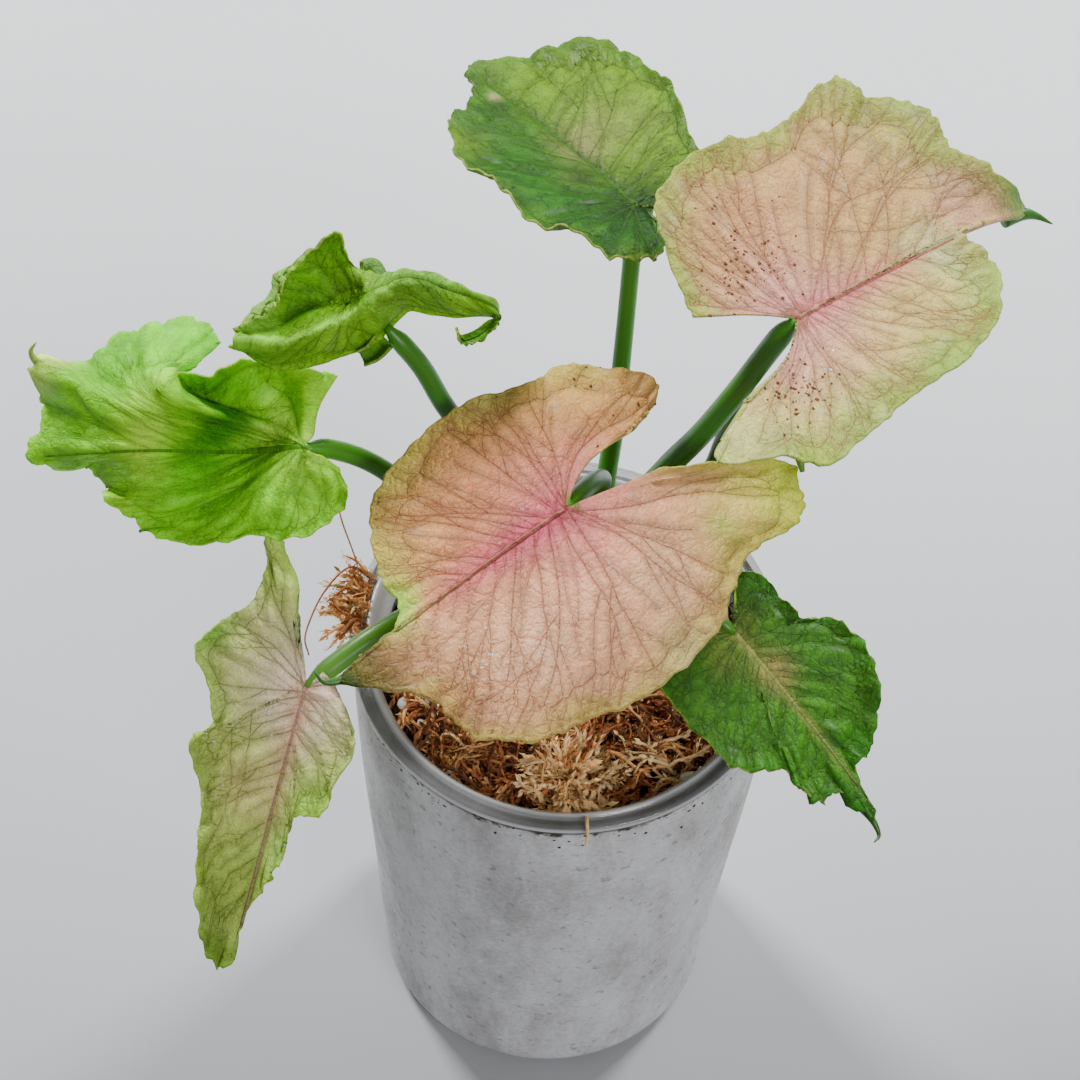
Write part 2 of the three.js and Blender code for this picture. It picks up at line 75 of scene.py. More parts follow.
# %% [markdown]
# Materials are small graphs of nodes. A few helpers keep them short: one turns the 0 to 255 numbers of
# an eyedropper into a linear colour, one adds a node with its inputs set or linked, and others mix two
# colours, stretch a value or make a noise. A material is then a few lines that read like a recipe.

# %% Paints
GREEN_PURITY = 1.6
PINK_PURITY = 1.3
PAINT_DEPTH = 0.85


def linear(red, green, blue):
    """A linear colour from the 0 to 255 numbers that an eyedropper shows."""
    shares = np.array([red, green, blue]) / 255
    return np.where(shares <= 0.04045, shares / 12.92, ((shares + 0.055) / 1.055) ** 2.4)


def deepened(colour, purity):
    """A paint for leaves. The render's film dulls colours, so they are mixed purer than they look."""
    colour = np.maximum(colour, 0.002)
    light = colour @ (0.2126, 0.7152, 0.0722)
    return np.minimum(light * (colour / light) ** purity * PAINT_DEPTH, 0.85)


def vivid(red, green, blue):
    """A paint for the green parts."""
    return deepened(linear(red, green, blue), GREEN_PURITY)


def rosy(red, green, blue):
    """A paint for the pink parts, which the film dulls less."""
    return deepened(linear(red, green, blue), PINK_PURITY)


print("a leaf green as a paint:", vivid(100, 150, 40).round(3))

# %% Node helpers
def new_material(name, roughness):
    """A material with nodes, and its shader."""
    material = bpy.data.materials.new(name)
    material.use_nodes = True
    shader = material.node_tree.nodes["Principled BSDF"]
    shader.inputs["Roughness"].default_value = roughness
    return material, shader


def add_node(material, kind, inputs=(), **settings):
    """A node of this kind. inputs are (name or number, value or socket) pairs."""
    node = material.node_tree.nodes.new(kind)
    for name, value in settings.items():
        setattr(node, name, value)
    for key, value in inputs:
        if isinstance(value, bpy.types.NodeSocket):
            material.node_tree.links.new(value, node.inputs[key])
        else:
            node.inputs[key].default_value = value
    return node


def link(material, socket, target):
    material.node_tree.links.new(socket, target)


def mixed(material, share, first, second, blend="MIX"):
    """The colour that a Mix node makes of two colours: each is a socket or a linear colour."""
    pairs = [(0, share)]
    for number, colour in ((6, first), (7, second)):
        if not isinstance(colour, bpy.types.NodeSocket):
            colour = (*colour, 1)
        pairs.append((number, colour))
    return add_node(material, "ShaderNodeMix", pairs, data_type="RGBA", blend_type=blend).outputs[2]


def ranged(material, value, low, high, to_low=0.0, to_high=1.0):
    """value stretched so that low becomes to_low and high becomes to_high."""
    pairs = [("Value", value), ("From Min", low), ("From Max", high), ("To Min", to_low), ("To Max", to_high)]
    return add_node(material, "ShaderNodeMapRange", pairs).outputs[0]


def calculated(material, operation, *values):
    """The number that a Math node makes of these values."""
    return add_node(material, "ShaderNodeMath", enumerate(values), operation=operation).outputs[0]


def grey_colour(material, value):
    """The grey whose three channels all have this value."""
    return add_node(material, "ShaderNodeCombineColor", [(0, value), (1, value), (2, value)]).outputs[0]


def painted(material):
    """The painted colour of a piece's vertices, and their places on the flat leaf."""
    wash = add_node(material, "ShaderNodeAttribute", attribute_name="wash").outputs["Color"]
    flat = add_node(material, "ShaderNodeAttribute", attribute_name="flat").outputs["Vector"]
    return wash, flat


def noise(material, place, scale, detail=2.0, roughness=0.5):
    pairs = [("Vector", place), ("Scale", scale), ("Detail", detail), ("Roughness", roughness)]
    return add_node(material, "ShaderNodeTexNoise", pairs).outputs["Fac"]


def object_place(material):
    return add_node(material, "ShaderNodeTexCoord").outputs["Object"]


def bump(material, height, strength, distance):
    pairs = [("Height", height), ("Strength", strength), ("Distance", distance)]
    return add_node(material, "ShaderNodeBump", pairs).outputs["Normal"]

# %% [markdown]
# The floor is a plain pale sheet, much wider than the view. It isn't part of the object. It is a paper sweep
# with a very faint cloudiness, painted darker towards the front and paler towards the back: painted shade
# for the fall-off of the light from the two boxes behind the plant.

# %% Floor
FLOOR_HALF_WIDTH = 3.0

floor_material, floor_shader = new_material("floor pale", 0.7)
floor_place = object_place(floor_material)
floor_cloud = noise(floor_material, floor_place, 2.5)
floor_back = add_node(floor_material, "ShaderNodeSeparateXYZ", [(0, floor_place)]).outputs["Y"]
# Painted shade: the front of the floor is painted darker and the back paler.
floor_shaded_front_colour = mixed(floor_material, floor_cloud, linear(137, 139, 142), linear(145, 147, 150))
floor_lit_back_colour = mixed(floor_material, floor_cloud, linear(217, 219, 222), linear(223, 225, 228))
floor_colour = mixed(
    floor_material, ranged(floor_material, floor_back, -0.16, 0.26), floor_shaded_front_colour, floor_lit_back_colour)
link(floor_material, floor_colour, floor_shader.inputs["Base Color"])

floor_bm = bmesh.new()
bmesh.ops.create_grid(floor_bm, x_segments=1, y_segments=1, size=FLOOR_HALF_WIDTH)
floor_mesh = bpy.data.meshes.new("floor")
floor_bm.to_mesh(floor_mesh)
floor_bm.free()
floor_mesh.materials.append(floor_material)
floor = bpy.data.objects.new("floor", floor_mesh)
bpy.context.collection.objects.link(floor)
print("floor", 2 * FLOOR_HALF_WIDTH, "m wide")

# %% [markdown]
# Product photographs of plants are lit by soft boxes. Two stand behind the plant, one on each side, and
# throw the two soft shadows that fall towards the viewer. A weaker one in front lights the pot, and the
# grey sky of the world lights the rest. Each box is turned to face the middle of the leaves.

# %% Lights
LIGHT_TARGET = Vector((0, 0, 0.15))
SOFT_BOXES = [
    # name, place, width in metres, watts
    ("box behind left", (-0.7, 0.8, 1.05), 0.26, 27),
    ("box behind right", (0.75, 0.85, 1.0), 0.26, 22),
    ("box in front", (0.7, -1.1, 1.1), 0.6, 13),
]
for name, place, width, watts in SOFT_BOXES:
    light_data = bpy.data.lights.new(name, "AREA")
    light_data.size = width
    light_data.energy = watts
    light = bpy.data.objects.new(name, light_data)
    light.location = place
    light.rotation_euler = (LIGHT_TARGET - Vector(place)).to_track_quat("-Z", "Y").to_euler()
    bpy.context.collection.objects.link(light)

world = bpy.data.worlds.new("studio")
bpy.context.scene.world = world
world.use_nodes = True
world.node_tree.nodes["Background"].inputs["Color"].default_value = (*linear(230, 232, 236), 1)
world.node_tree.nodes["Background"].inputs["Strength"].default_value = 0.28
print("lights", len(SOFT_BOXES))

# %% [markdown]
# Everything that isn't turned on a lathe is a bent grid here: a flat grid whose vertices move to places
# that a formula gives. A blade is one grid, from the junction out to the margin. A petiole, a vein or a
# moss strand is a grid rolled into a tube. Grids give even quads and clean seams, and each vertex can
# carry its colour and its place on the leaf in a layer, which the material reads.

# %% Meshes from grids
scratch_mesh = bpy.data.meshes.new("scratch")


def add_grid(bm, places, layers=()):
    """Adds a grid to bm. places[i, j] is the place of column i, row j. layers are (name, values) pairs."""
    columns, rows = places.shape[0] - 1, places.shape[1] - 1
    handles = [(vertex_layer(bm, name), values) for name, values in layers]
    made = bmesh.ops.create_grid(bm, x_segments=columns, y_segments=rows, size=1)["verts"]
    for vertex in made:
        column = round((vertex.co.x + 1) / 2 * columns)
        row = round((vertex.co.y + 1) / 2 * rows)
        vertex.co = places[column, row]
        for handle, values in handles:
            vertex[handle] = values[column, row]


def vertex_layer(bm, name):
    """The layer of this name: wash is the painted colour and flat the place on the flat leaf."""
    kind = bm.verts.layers.float_color if name == "wash" else bm.verts.layers.float_vector
    return kind.get(name) or kind.new(name)


def add_part(bm, part):
    """Moves a small finished bmesh into a large one, so that the operators only see small ones."""
    bmesh.ops.recalc_face_normals(part, faces=part.faces)
    part.to_mesh(scratch_mesh)
    part.free()
    bm.from_mesh(scratch_mesh)

# %% Tubes
def add_tube(bm, centres, sides, ups, across, upward, layers=()):
    """Adds a closed tube. across and upward hold the section's points, one row for each centre."""
    rings = centres[:, None] + across[..., None] * sides[:, None] + upward[..., None] * ups[:, None]
    middles = rings.mean(axis=1, keepdims=True)
    rings = np.concatenate([rings, rings[:, :1]], axis=1)
    first = np.broadcast_to(middles[0], rings[0].shape)
    last = np.broadcast_to(middles[-1], rings[0].shape)
    rings = np.concatenate([first[None], rings, last[None]])
    spread = []
    for name, values in layers:
        values = np.concatenate([values[:1], values, values[-1:]])
        if values.ndim == 2:
            values = np.repeat(values[:, None], rings.shape[1], axis=1)
        spread.append((name, values))
    part = bmesh.new()
    add_grid(part, rings, spread)
    bmesh.ops.remove_doubles(part, verts=part.verts, dist=1e-7)
    add_part(bm, part)


def unit(vectors):
    return vectors / np.maximum(np.linalg.norm(vectors, axis=-1, keepdims=True), 1e-12)


def frames_along(path):
    """Side and up directions along a path, turned as little as possible from one point to the next."""
    tangents = unit(np.gradient(path, axis=0))
    side = unit(np.cross(tangents[0], (0.3, 0.2, 1)))
    sides = []
    for tangent in tangents:
        side = unit(side - np.dot(side, tangent) * tangent)
        sides.append(side)
    sides = np.array(sides)
    return sides, np.cross(tangents, sides)


def add_round_tube(bm, path, radii, corners, layers=()):
    """Adds a round closed tube of changing radius along a path."""
    sides, ups = frames_along(path)
    angles = np.linspace(0, 2 * np.pi, corners, endpoint=False)
    add_tube(bm, path, sides, ups, np.outer(radii, np.cos(angles)), np.outer(radii, np.sin(angles)), layers)

# %% Ending a piece
def make_piece(name, bm, materials, replaced=()):
    """Ends a bmesh as a piece of the object that rides on the root body."""
    mesh = bpy.data.meshes.new(name)
    bm.to_mesh(mesh)
    bm.free()
    mesh.shade_smooth()
    for material in materials:
        mesh.materials.append(material)
    piece = bpy.data.objects.new(name, mesh)
    bpy.context.collection.objects.link(piece)
    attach(piece, "root")
    if replaced:
        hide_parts(*replaced)
    print(name, len(mesh.polygons), "faces")
    return piece

# %% [markdown]
# The outer pot looks like cast stone: matt grey, with fine pale and dark grains, a few pits, and black
# potting soil that clings in specks below the lip. The specks and a dark band at the rim also paint the
# shade that falls under the cup's lip. A half profile is spun round the Z axis, which is how a potter or a
# lathe makes such a shape. The clouds, grains and specks are three noises of different size on object
# coordinates, which is right for stone because its grain doesn't follow the surface.

# %% Outer pot material
POT_TOP = 0.1275

pot_material, pot_shader = new_material("pot cast stone", 0.82)
pot_place = object_place(pot_material)
pot_streaked = add_node(
    pot_material, "ShaderNodeMapping", [("Vector", pot_place), ("Scale", (1, 1, 0.45))]).outputs["Vector"]
pot_cloud = ranged(pot_material, noise(pot_material, pot_streaked, 55, 5, 0.7), 0.36, 0.64)
pot_grain = noise(pot_material, pot_place, 900, 3, 0.7)
pot_speck = noise(pot_material, pot_place, 420, 2, 0.6)
pot_colour = mixed(pot_material, pot_cloud, linear(160, 159, 159), linear(208, 208, 209))
pot_colour = mixed(
    pot_material, ranged(pot_material, pot_grain, 0.35, 0.68), pot_colour, linear(214, 213, 214), "OVERLAY")
speck_share = ranged(pot_material, pot_speck, 0.62, 0.7, 0, 0.55)
pot_colour = mixed(pot_material, speck_share, pot_colour, linear(112, 109, 108))
# Soil clings in specks just below the lip and thins out downwards; the specks also paint the shade under the
# cup's lip.
pot_height = add_node(pot_material, "ShaderNodeSeparateXYZ", [(0, pot_place)]).outputs["Z"]
soil_and_shade_zone = ranged(pot_material, pot_height, POT_TOP - 0.009, POT_TOP - 0.001)
soil_speck = noise(pot_material, pot_place, 330, 4, 0.7)
soil_and_shade_here = calculated(pot_material, "MULTIPLY", soil_and_shade_zone, soil_speck)
soil_and_shade_share = ranged(pot_material, soil_and_shade_here, 0.46, 0.58)
pot_colour = mixed(pot_material, soil_and_shade_share, pot_colour, linear(52, 44, 38))
# The rim itself is painted dark all round: soil, and painted shade under the cup's lip.
rim_soil_and_shade = ranged(pot_material, pot_height, POT_TOP - 0.0012, POT_TOP - 0.0006)
pot_colour = mixed(pot_material, rim_soil_and_shade, pot_colour, linear(74, 68, 62))
link(pot_material, pot_colour, pot_shader.inputs["Base Color"])
link(pot_material, bump(pot_material, pot_grain, 0.65, 0.0005), pot_shader.inputs["Normal"])

# %% Outer pot
TURNING_STEPS = 180


def spin_profile(profile):
    """A bmesh turned round Z from (radius, height) points in mm that run from axis to axis."""
    bm = bmesh.new()
    corners = [bm.verts.new((radius * MM, 0, height * MM)) for radius, height in profile]
    edges = [bm.edges.new(pair) for pair in zip(corners, corners[1:])]
    bmesh.ops.spin(
        bm, geom=corners + edges, cent=(0, 0, 0), axis=(0, 0, 1), angle=2 * math.pi,
        steps=TURNING_STEPS, use_merge=True, use_duplicate=False)
    bmesh.ops.remove_doubles(bm, verts=bm.verts, dist=1e-6)
    bmesh.ops.recalc_face_normals(bm, faces=bm.faces)
    return bm


def arc(centre_radius, centre_height, radius, start, end, steps):
    """Points on a part of a circle in the profile's plane, with the angles in degrees."""
    angles = np.radians(np.linspace(start, end, steps + 1))
    return [(centre_radius + radius * math.cos(a), centre_height + radius * math.sin(a)) for a in angles]


def catmull(points, u):
    """Places on the Catmull-Rom curve through points, u from 0 to 1, one for each u.
    points is one run of points, or for every u its own run, as points[number, u's number]."""
    points = np.asarray(points, float)
    u = np.atleast_1d(np.asarray(u, float))
    if points.ndim == 2:
        points = np.repeat(points[:, None], len(u), axis=1)
    padded = np.concatenate([[2 * points[0] - points[1]], points, [2 * points[-1] - points[-2]]])
    place = np.clip(u, 0, 1) * (len(points) - 1)
    span = np.minimum(place.astype(int), len(points) - 2)
    f = (place - span)[:, None]
    a, b, c, d = (padded[span + step, np.arange(len(u))] for step in range(4))
    return 0.5 * (2 * b + (c - a) * f + (2 * a - 5 * b + 4 * c - d) * f**2 + (3 * b - a - 3 * c + d) * f**3)


pot_side = [(38, 6), (40, 44.6), (42.3, 79), (43.7, 104.5), (44.3, 126.5)]
pot_profile = [(0, 0)] + arc(32, 6, 6, -90, -8, 8)
pot_profile += [tuple(point) for point in catmull(pot_side, np.linspace(0, 1, 17))]
pot_profile += [(44.1, 127.2), (43.5, 127.5), (41.6, 127.5), (41.2, 127.1), (39.8, 89), (34.9, 10)]
pot_profile += [(33.6, 6.4), (30.9, 5), (0, 5)]
make_piece("outer_pot_fine", spin_profile(pot_profile), [pot_material], ["outer_pot"])

# %% [markdown]
# The nursery cup is thin clear plastic. Only its lip and a strip of its inner wall show: the lip is
# rolled out over the pot, with a flat step inside the roll, and it looks smoky because the pot's edge
# and the soil show through. It is spun like the pot. Plastic this thin hardly bends light, so a low
# alpha with a gloss is closer than solid glass, and it bakes well.

# %% Nursery cup
CUP_OPACITY = 0.35

cup_material, cup_shader = new_material("cup clear plastic", 0.16)
cup_place = object_place(cup_material)
cup_scuff = noise(cup_material, cup_place, 240, 3, 0.65)
cup_colour = mixed(cup_material, cup_scuff, linear(120, 121, 124), linear(176, 178, 180))
# Painted highlights: where the lip turns, its edges are painted as two pale rings, as if they caught the
# light.
cup_level = add_node(
    cup_material, "ShaderNodeVectorMath", [(0, cup_place), (1, (1, 1, 0))], operation="MULTIPLY").outputs[0]
cup_radius = add_node(
    cup_material, "ShaderNodeVectorMath", [(0, cup_level)], operation="LENGTH").outputs["Value"]
outer_highlight_ring = ranged(cup_material, cup_radius, 0.0446, 0.0449)
inner_highlight_ring = ranged(cup_material, cup_radius, 0.0420, 0.0415)
cup_highlight_rings = calculated(cup_material, "MAXIMUM", outer_highlight_ring, inner_highlight_ring)
cup_colour = mixed(cup_material, cup_highlight_rings, cup_colour, linear(226, 228, 230))
link(cup_material, cup_colour, cup_shader.inputs["Base Color"])
link(cup_material, ranged(cup_material, cup_highlight_rings, 0, 1, CUP_OPACITY, 0.6), cup_shader.inputs["Alpha"])
link(cup_material, ranged(cup_material, cup_scuff, 0.35, 0.75, 0.1, 0.34), cup_shader.inputs["Roughness"])
link(cup_material, bump(cup_material, cup_scuff, 0.08, 0.0002), cup_shader.inputs["Normal"])
cup_shader.inputs["Coat Weight"].default_value = 0.5
cup_shader.inputs["Coat Roughness"].default_value = 0.05

cup_profile = [(0, 9), (32, 9), (33.4, 9.6), (34, 11), (40.7, 126.8), (41.1, 127.8)]
cup_profile += arc(43.95, 128.85, 1.05, -90, 100, 10)
cup_profile += [(43.1, 129.3), (42.6, 128.9), (42.0, 128.9), (41.6, 129.6), (41.2, 129.8), (40.7, 129.3)]
cup_profile += [(39.8, 128), (33.1, 11.4), (31.6, 9.9), (0, 9.9)]
make_piece("nursery_cup_fine", spin_profile(cup_profile), [cup_material], ["nursery_cup"])

# %% [markdown]
# The leaves. A leaf is written down as in the CAD source, in millimetres in its own frame at the
# junction of blade and petiole: along the midrib, to the left, and up. Flat leaves have an outline and
# a few numbers for how the blade folds, sags and arches. The two crumpled ones have columns of points
# from the junction, or from the near margin, to the far margin.
#
# To each leaf belong its washes, as in watercolour: a body colour, a colour for its rim, midrib and
# junction, and soft spots; on some leaves the halves and spots also paint light and shade. A spot is
# placed by (share round the margin, share outwards).

# %% The leaves' shapes
LEAVES = {
    "leaf_top": {
        "junction": (8, 63, 196), "heading": 126, "pitch": -14, "bank": 6,
        "fold": 0.22, "sag": 0.15, "arch": 0, "ruffles": (9, 0.8),
        "outline": [
            (-5, -1), (-11, 1), (-16, 4), (-19, 9), (-19, 14), (-15, 16), (-8, 17), (-4, 22), (2, 25),
            (10, 24), (18, 24), (24, 26), (34, 23), (43, 19), (50, 10), (58, 4), (68, -1), (62, -8),
            (58, -16), (51, -23), (42, -26), (30, -26), (20, -24), (7, -19), (-4, -18), (-12, -15),
            (-14, -9), (-9, -5),
        ],
        "petiole": {"angle": 68, "width": 4.2},
        "route": [(6, 31, 140), (7, 38, 151), (7.5, 45, 162), (8, 57, 184)],
    },
    "leaf_right": {
        "junction": (40, 27, 210), "heading": 40, "pitch": -6, "bank": 8,
        "fold": 0.05, "sag": 0.1, "arch": 0, "ruffles": (7, 0.6), "sinus": (2, 4.6),
        "outline": [
            (-19, 10), (-18, 15), (-14, 27), (-10, 35), (-1, 40), (12, 40), (19, 38), (28, 39), (37, 42),
            (44, 42), (46, 37), (55, 31), (58, 25), (56, 17), (62, 9), (68, 2, -9), (57, 1.3, -3),
            (50, 0.9, -1.4), (44, 0, -0.6), (46, -4), (45, -11), (37, -20), (22, -25), (8, -26), (-3, -28),
            (-17, -30), (-22, -25), (-34, -19.5), (-33, -16.5), (-21, -10),
        ],
        "petiole": {"angle": 28, "width": 5.2},
        "route": [(12, 21, 148), (18, 22, 163), (24, 22, 176), (30, 23, 190), (37, 26, 205)],
    },
    "leaf_centre": {
        "junction": (-2, 1, 178), "heading": 219, "pitch": -9, "bank": -4,
        "fold": 0, "sag": 0.12, "arch": 0.25, "ruffles": (8, 0.6), "sinus": (0, 4),
        "outline": [
            (-20, 5, 1), (-27, 9.3, 2), (-36, 14, 2), (-42, 19), (-39, 27), (-34, 30), (-24, 29), (-16, 34),
            (-7, 39), (8, 41), (22, 38), (32, 36), (42, 29), (44, 22), (47, 13), (57, 1, -2), (44, 0),
            (39, -4), (38, -12), (33, -22), (25, -29), (12, -32), (2, -32), (-10, -28), (-18, -27),
            (-24, -22), (-31, -13), (-29, -9), (-20, -5),
        ],
        "petiole": {"angle": 110, "width": 4.4},
        "route": [(3, 25, 142), (5, 21, 158), (3, 12, 171)],
    },
    "leaf_lower_left": {
        "junction": (-52, -22, 141), "heading": 254, "pitch": -40, "bank": 0,
        "fold": 0.3, "sag": 0.1, "arch": 0, "ruffles": (8, 0.5),
        "outline": [
            (-4, 3), (-2, 6), (3, 11), (9, 14), (17, 12), (24, 11), (27, 5), (35, 5), (42, 3.5), (49, 0.5),
            (63, -1), (60, -6), (50, -10), (40, -12), (29, -14), (18, -19), (13, -16), (6, -18), (-2, -23),
            (-8, -20), (-14, -15), (-21, -14, -2), (-28, -15.5, -4), (-24, -11, -3), (-10, -4),
        ],
        "petiole": {"angle": 232, "width": 4.8},
        "route": [(-11, 10, 137), (-22, 2, 143), (-30, -5, 146), (-39, -12, 146), (-47, -18, 143)],
    },
    "leaf_lower_right": {
        "junction": (34, -4, 143), "heading": 318, "pitch": -18, "bank": 0,
        "fold": 0.1, "sag": 0.3, "arch": 0, "ruffles": (7, 0.6),
        "outline": [
            (-4, 3.5), (-9, 9), (-5, 13), (2, 13), (7, 13.5), (12, 19), (20, 20), (29, 16), (36, 8),
            (38, 2), (48, -2), (39, -4.5), (38, -10), (34, -12), (28, -11.2), (25, -17), (19, -22),
            (9, -22), (-1, -22), (-9, -18), (-12, -11), (-8, -6),
        ],
        "petiole": {"angle": 305, "width": 4.2},
        "route": [(14, 8, 136), (25, 2, 142), (31, -2, 144)],
    },
    "leaf_left": {
        "junction": (-55, 14, 174), "heading": 180, "pitch": 0, "bank": 0, "ruffles": (9, 0.3),
        "columns": [
            [(-2, 1, -1), (-4, 1, -2), (-7, 1, -6)],
            [(-2, 3, -2), (-5, 4, -5), (-9, 5, -10)],
            [(0, 4, -4), (-3, 7, -8), (-5, 11, -12)],
            [(2, 6, -5), (2, 10, -9), (2, 14, -13)],
            [(5, 6, -6), (7, 11, -10), (10, 14, -13)],
            [(8, 6, -7), (13, 12, -11), (19, 15, -15)],
            [(10, 6, -8), (19, 11, -12), (30, 14, -16)],
            [(12, 4, -9), (24, 10, -11), (34, 11, -13)],
            [(13, 2, -9), (28, 10, -7), (40, 9, -10)],
            [(14, 0, -9), (30, 9, -4), (39, 5, -13)],
            [(14, -2, -9), (32, 6, 0), (45, -1, -13)],
            [(14, -3, -8), (32, 5, 2), (57, -2, -14)],
            [(13, -4, -7), (32, 3, 5), (54, -10, -7)],
            [(13, -5, -6), (31, 2, 8), (57, -15, 3)],
            [(12, -5, -6), (30, 1, 10), (48, -16, 0)],
            [(11, -5, -5), (30, -1, 11), (40, -22, 2)],
            [(11, -6, -5), (29, -2, 12), (32, -25, 4)],
            [(10, -6, -4), (28, -2, 13), (23, -26, 4)],
            [(9, -6, -4), (27, -3, 13), (19, -20, 6)],
            [(8, -7, -3), (21, -10, -2), (27, -8, 14)],
            [(7, -8, -3), (18, -11, -4), (21, -10, 10)],
            [(5, -9, -2), (12, -12, 0), (13, -13, 12)],
            [(3, -10, 0), (5, -14, 3), (7, -13, 11)],
            [(0, -6, 2), (0, -9, 6), (-1, -12, 11)],
            [(-2, -3, 1), (-3, -7, 5), (-6, -12, 9)],
        ],
        "tip_at": 11 / 24,
        "petiole": {"angle": 190, "width": 4.6},
        "route": [(-15, 16, 142), (-29, 16, 153), (-41, 18, 163), (-49, 17, 169)],
    },
    "leaf_upper_left": {
        "junction": (-37, 29, 195), "heading": 180, "pitch": 0, "bank": 0, "ruffles": (7, 0.2),
        "petiole_end": (3, -3, -3),
        "columns": [
            [(33, 5, -1), (32, 6, 1), (32, 7, 2), (32, 5, 2), (33, 4, 3), (31, 5, 4)],
            [(29, 6, -4), (28, 7, 0), (27, 7, 3), (25, 3, 0), (29, 1, 4), (25, 4, 8)],
            [(24, 7, -6), (23, 8, 0), (23, 8, 4), (22, -1, -1), (26, -2, 7), (23, 1, 10)],
            [(19, 5, -7), (18, 6, 0), (18, 6, 5), (18, -4, 0), (24, -5, 9), (22, -2, 12)],
            [(14, 3, -7), (13, 4, 0), (13, 4, 6), (14, -5, 2), (19, -8, 10), (18, -7, 14)],
            [(9, 1, -7), (10, 2, 0), (10, 2, 6), (11, -7, 3), (14, -9, 11), (13, -10, 18)],
            [(5, -1, -6), (6, 0, 1), (7, -1, 7), (8, -7, 4), (11, -9, 7), (11, -9, 11)],
            [(3, -3, -5), (3, -3, 1), (4, -3, 7), (4, -8, 6), (6, -12, 2), (8, -13, -1)],
            [(-1, -7, -3), (-1, -6, 2), (0, -6, 7), (1, -9, 7), (2, -12, 1), (2, -13, -6)],
            [(-6, -8, -5), (-5, -7, 0), (-5, -7, 5), (-3, -10, 6), (-3, -13, 0), (-3, -14, -6)],
            [(-11, -9, -7), (-10, -8, -3), (-9, -7, 2), (-8, -10, 4), (-8, -13, -1), (-8, -13, -5)],
            [(-15, -11, -9), (-15, -10, -6), (-14, -9, -2), (-13, -10, 1), (-13, -12, -3), (-13, -12, -6)],
            [(-19, -11, -9), (-19, -10, -7), (-19, -9, -5), (-18, -11, -4), (-18, -13, -6), (-18, -14, -8)],
            [(-17, -11, -10), (-19, -10, -9)],
            [(-14.5, -10.5, -13), (-17, -8.5, -12)],
            [(-11.5, -10.5, -15), (-13, -8.5, -15.5)],
            [(-10, -10.5, -13), (-10.5, -9.5, -13.5)],
        ],
        "petiole": {"angle": 150, "width": 4.6},
        "route": [(-9, 22, 146), (-18, 24, 159), (-27, 27, 171), (-33, 30, 182)],
    },
}
print("leaves", len(LEAVES))

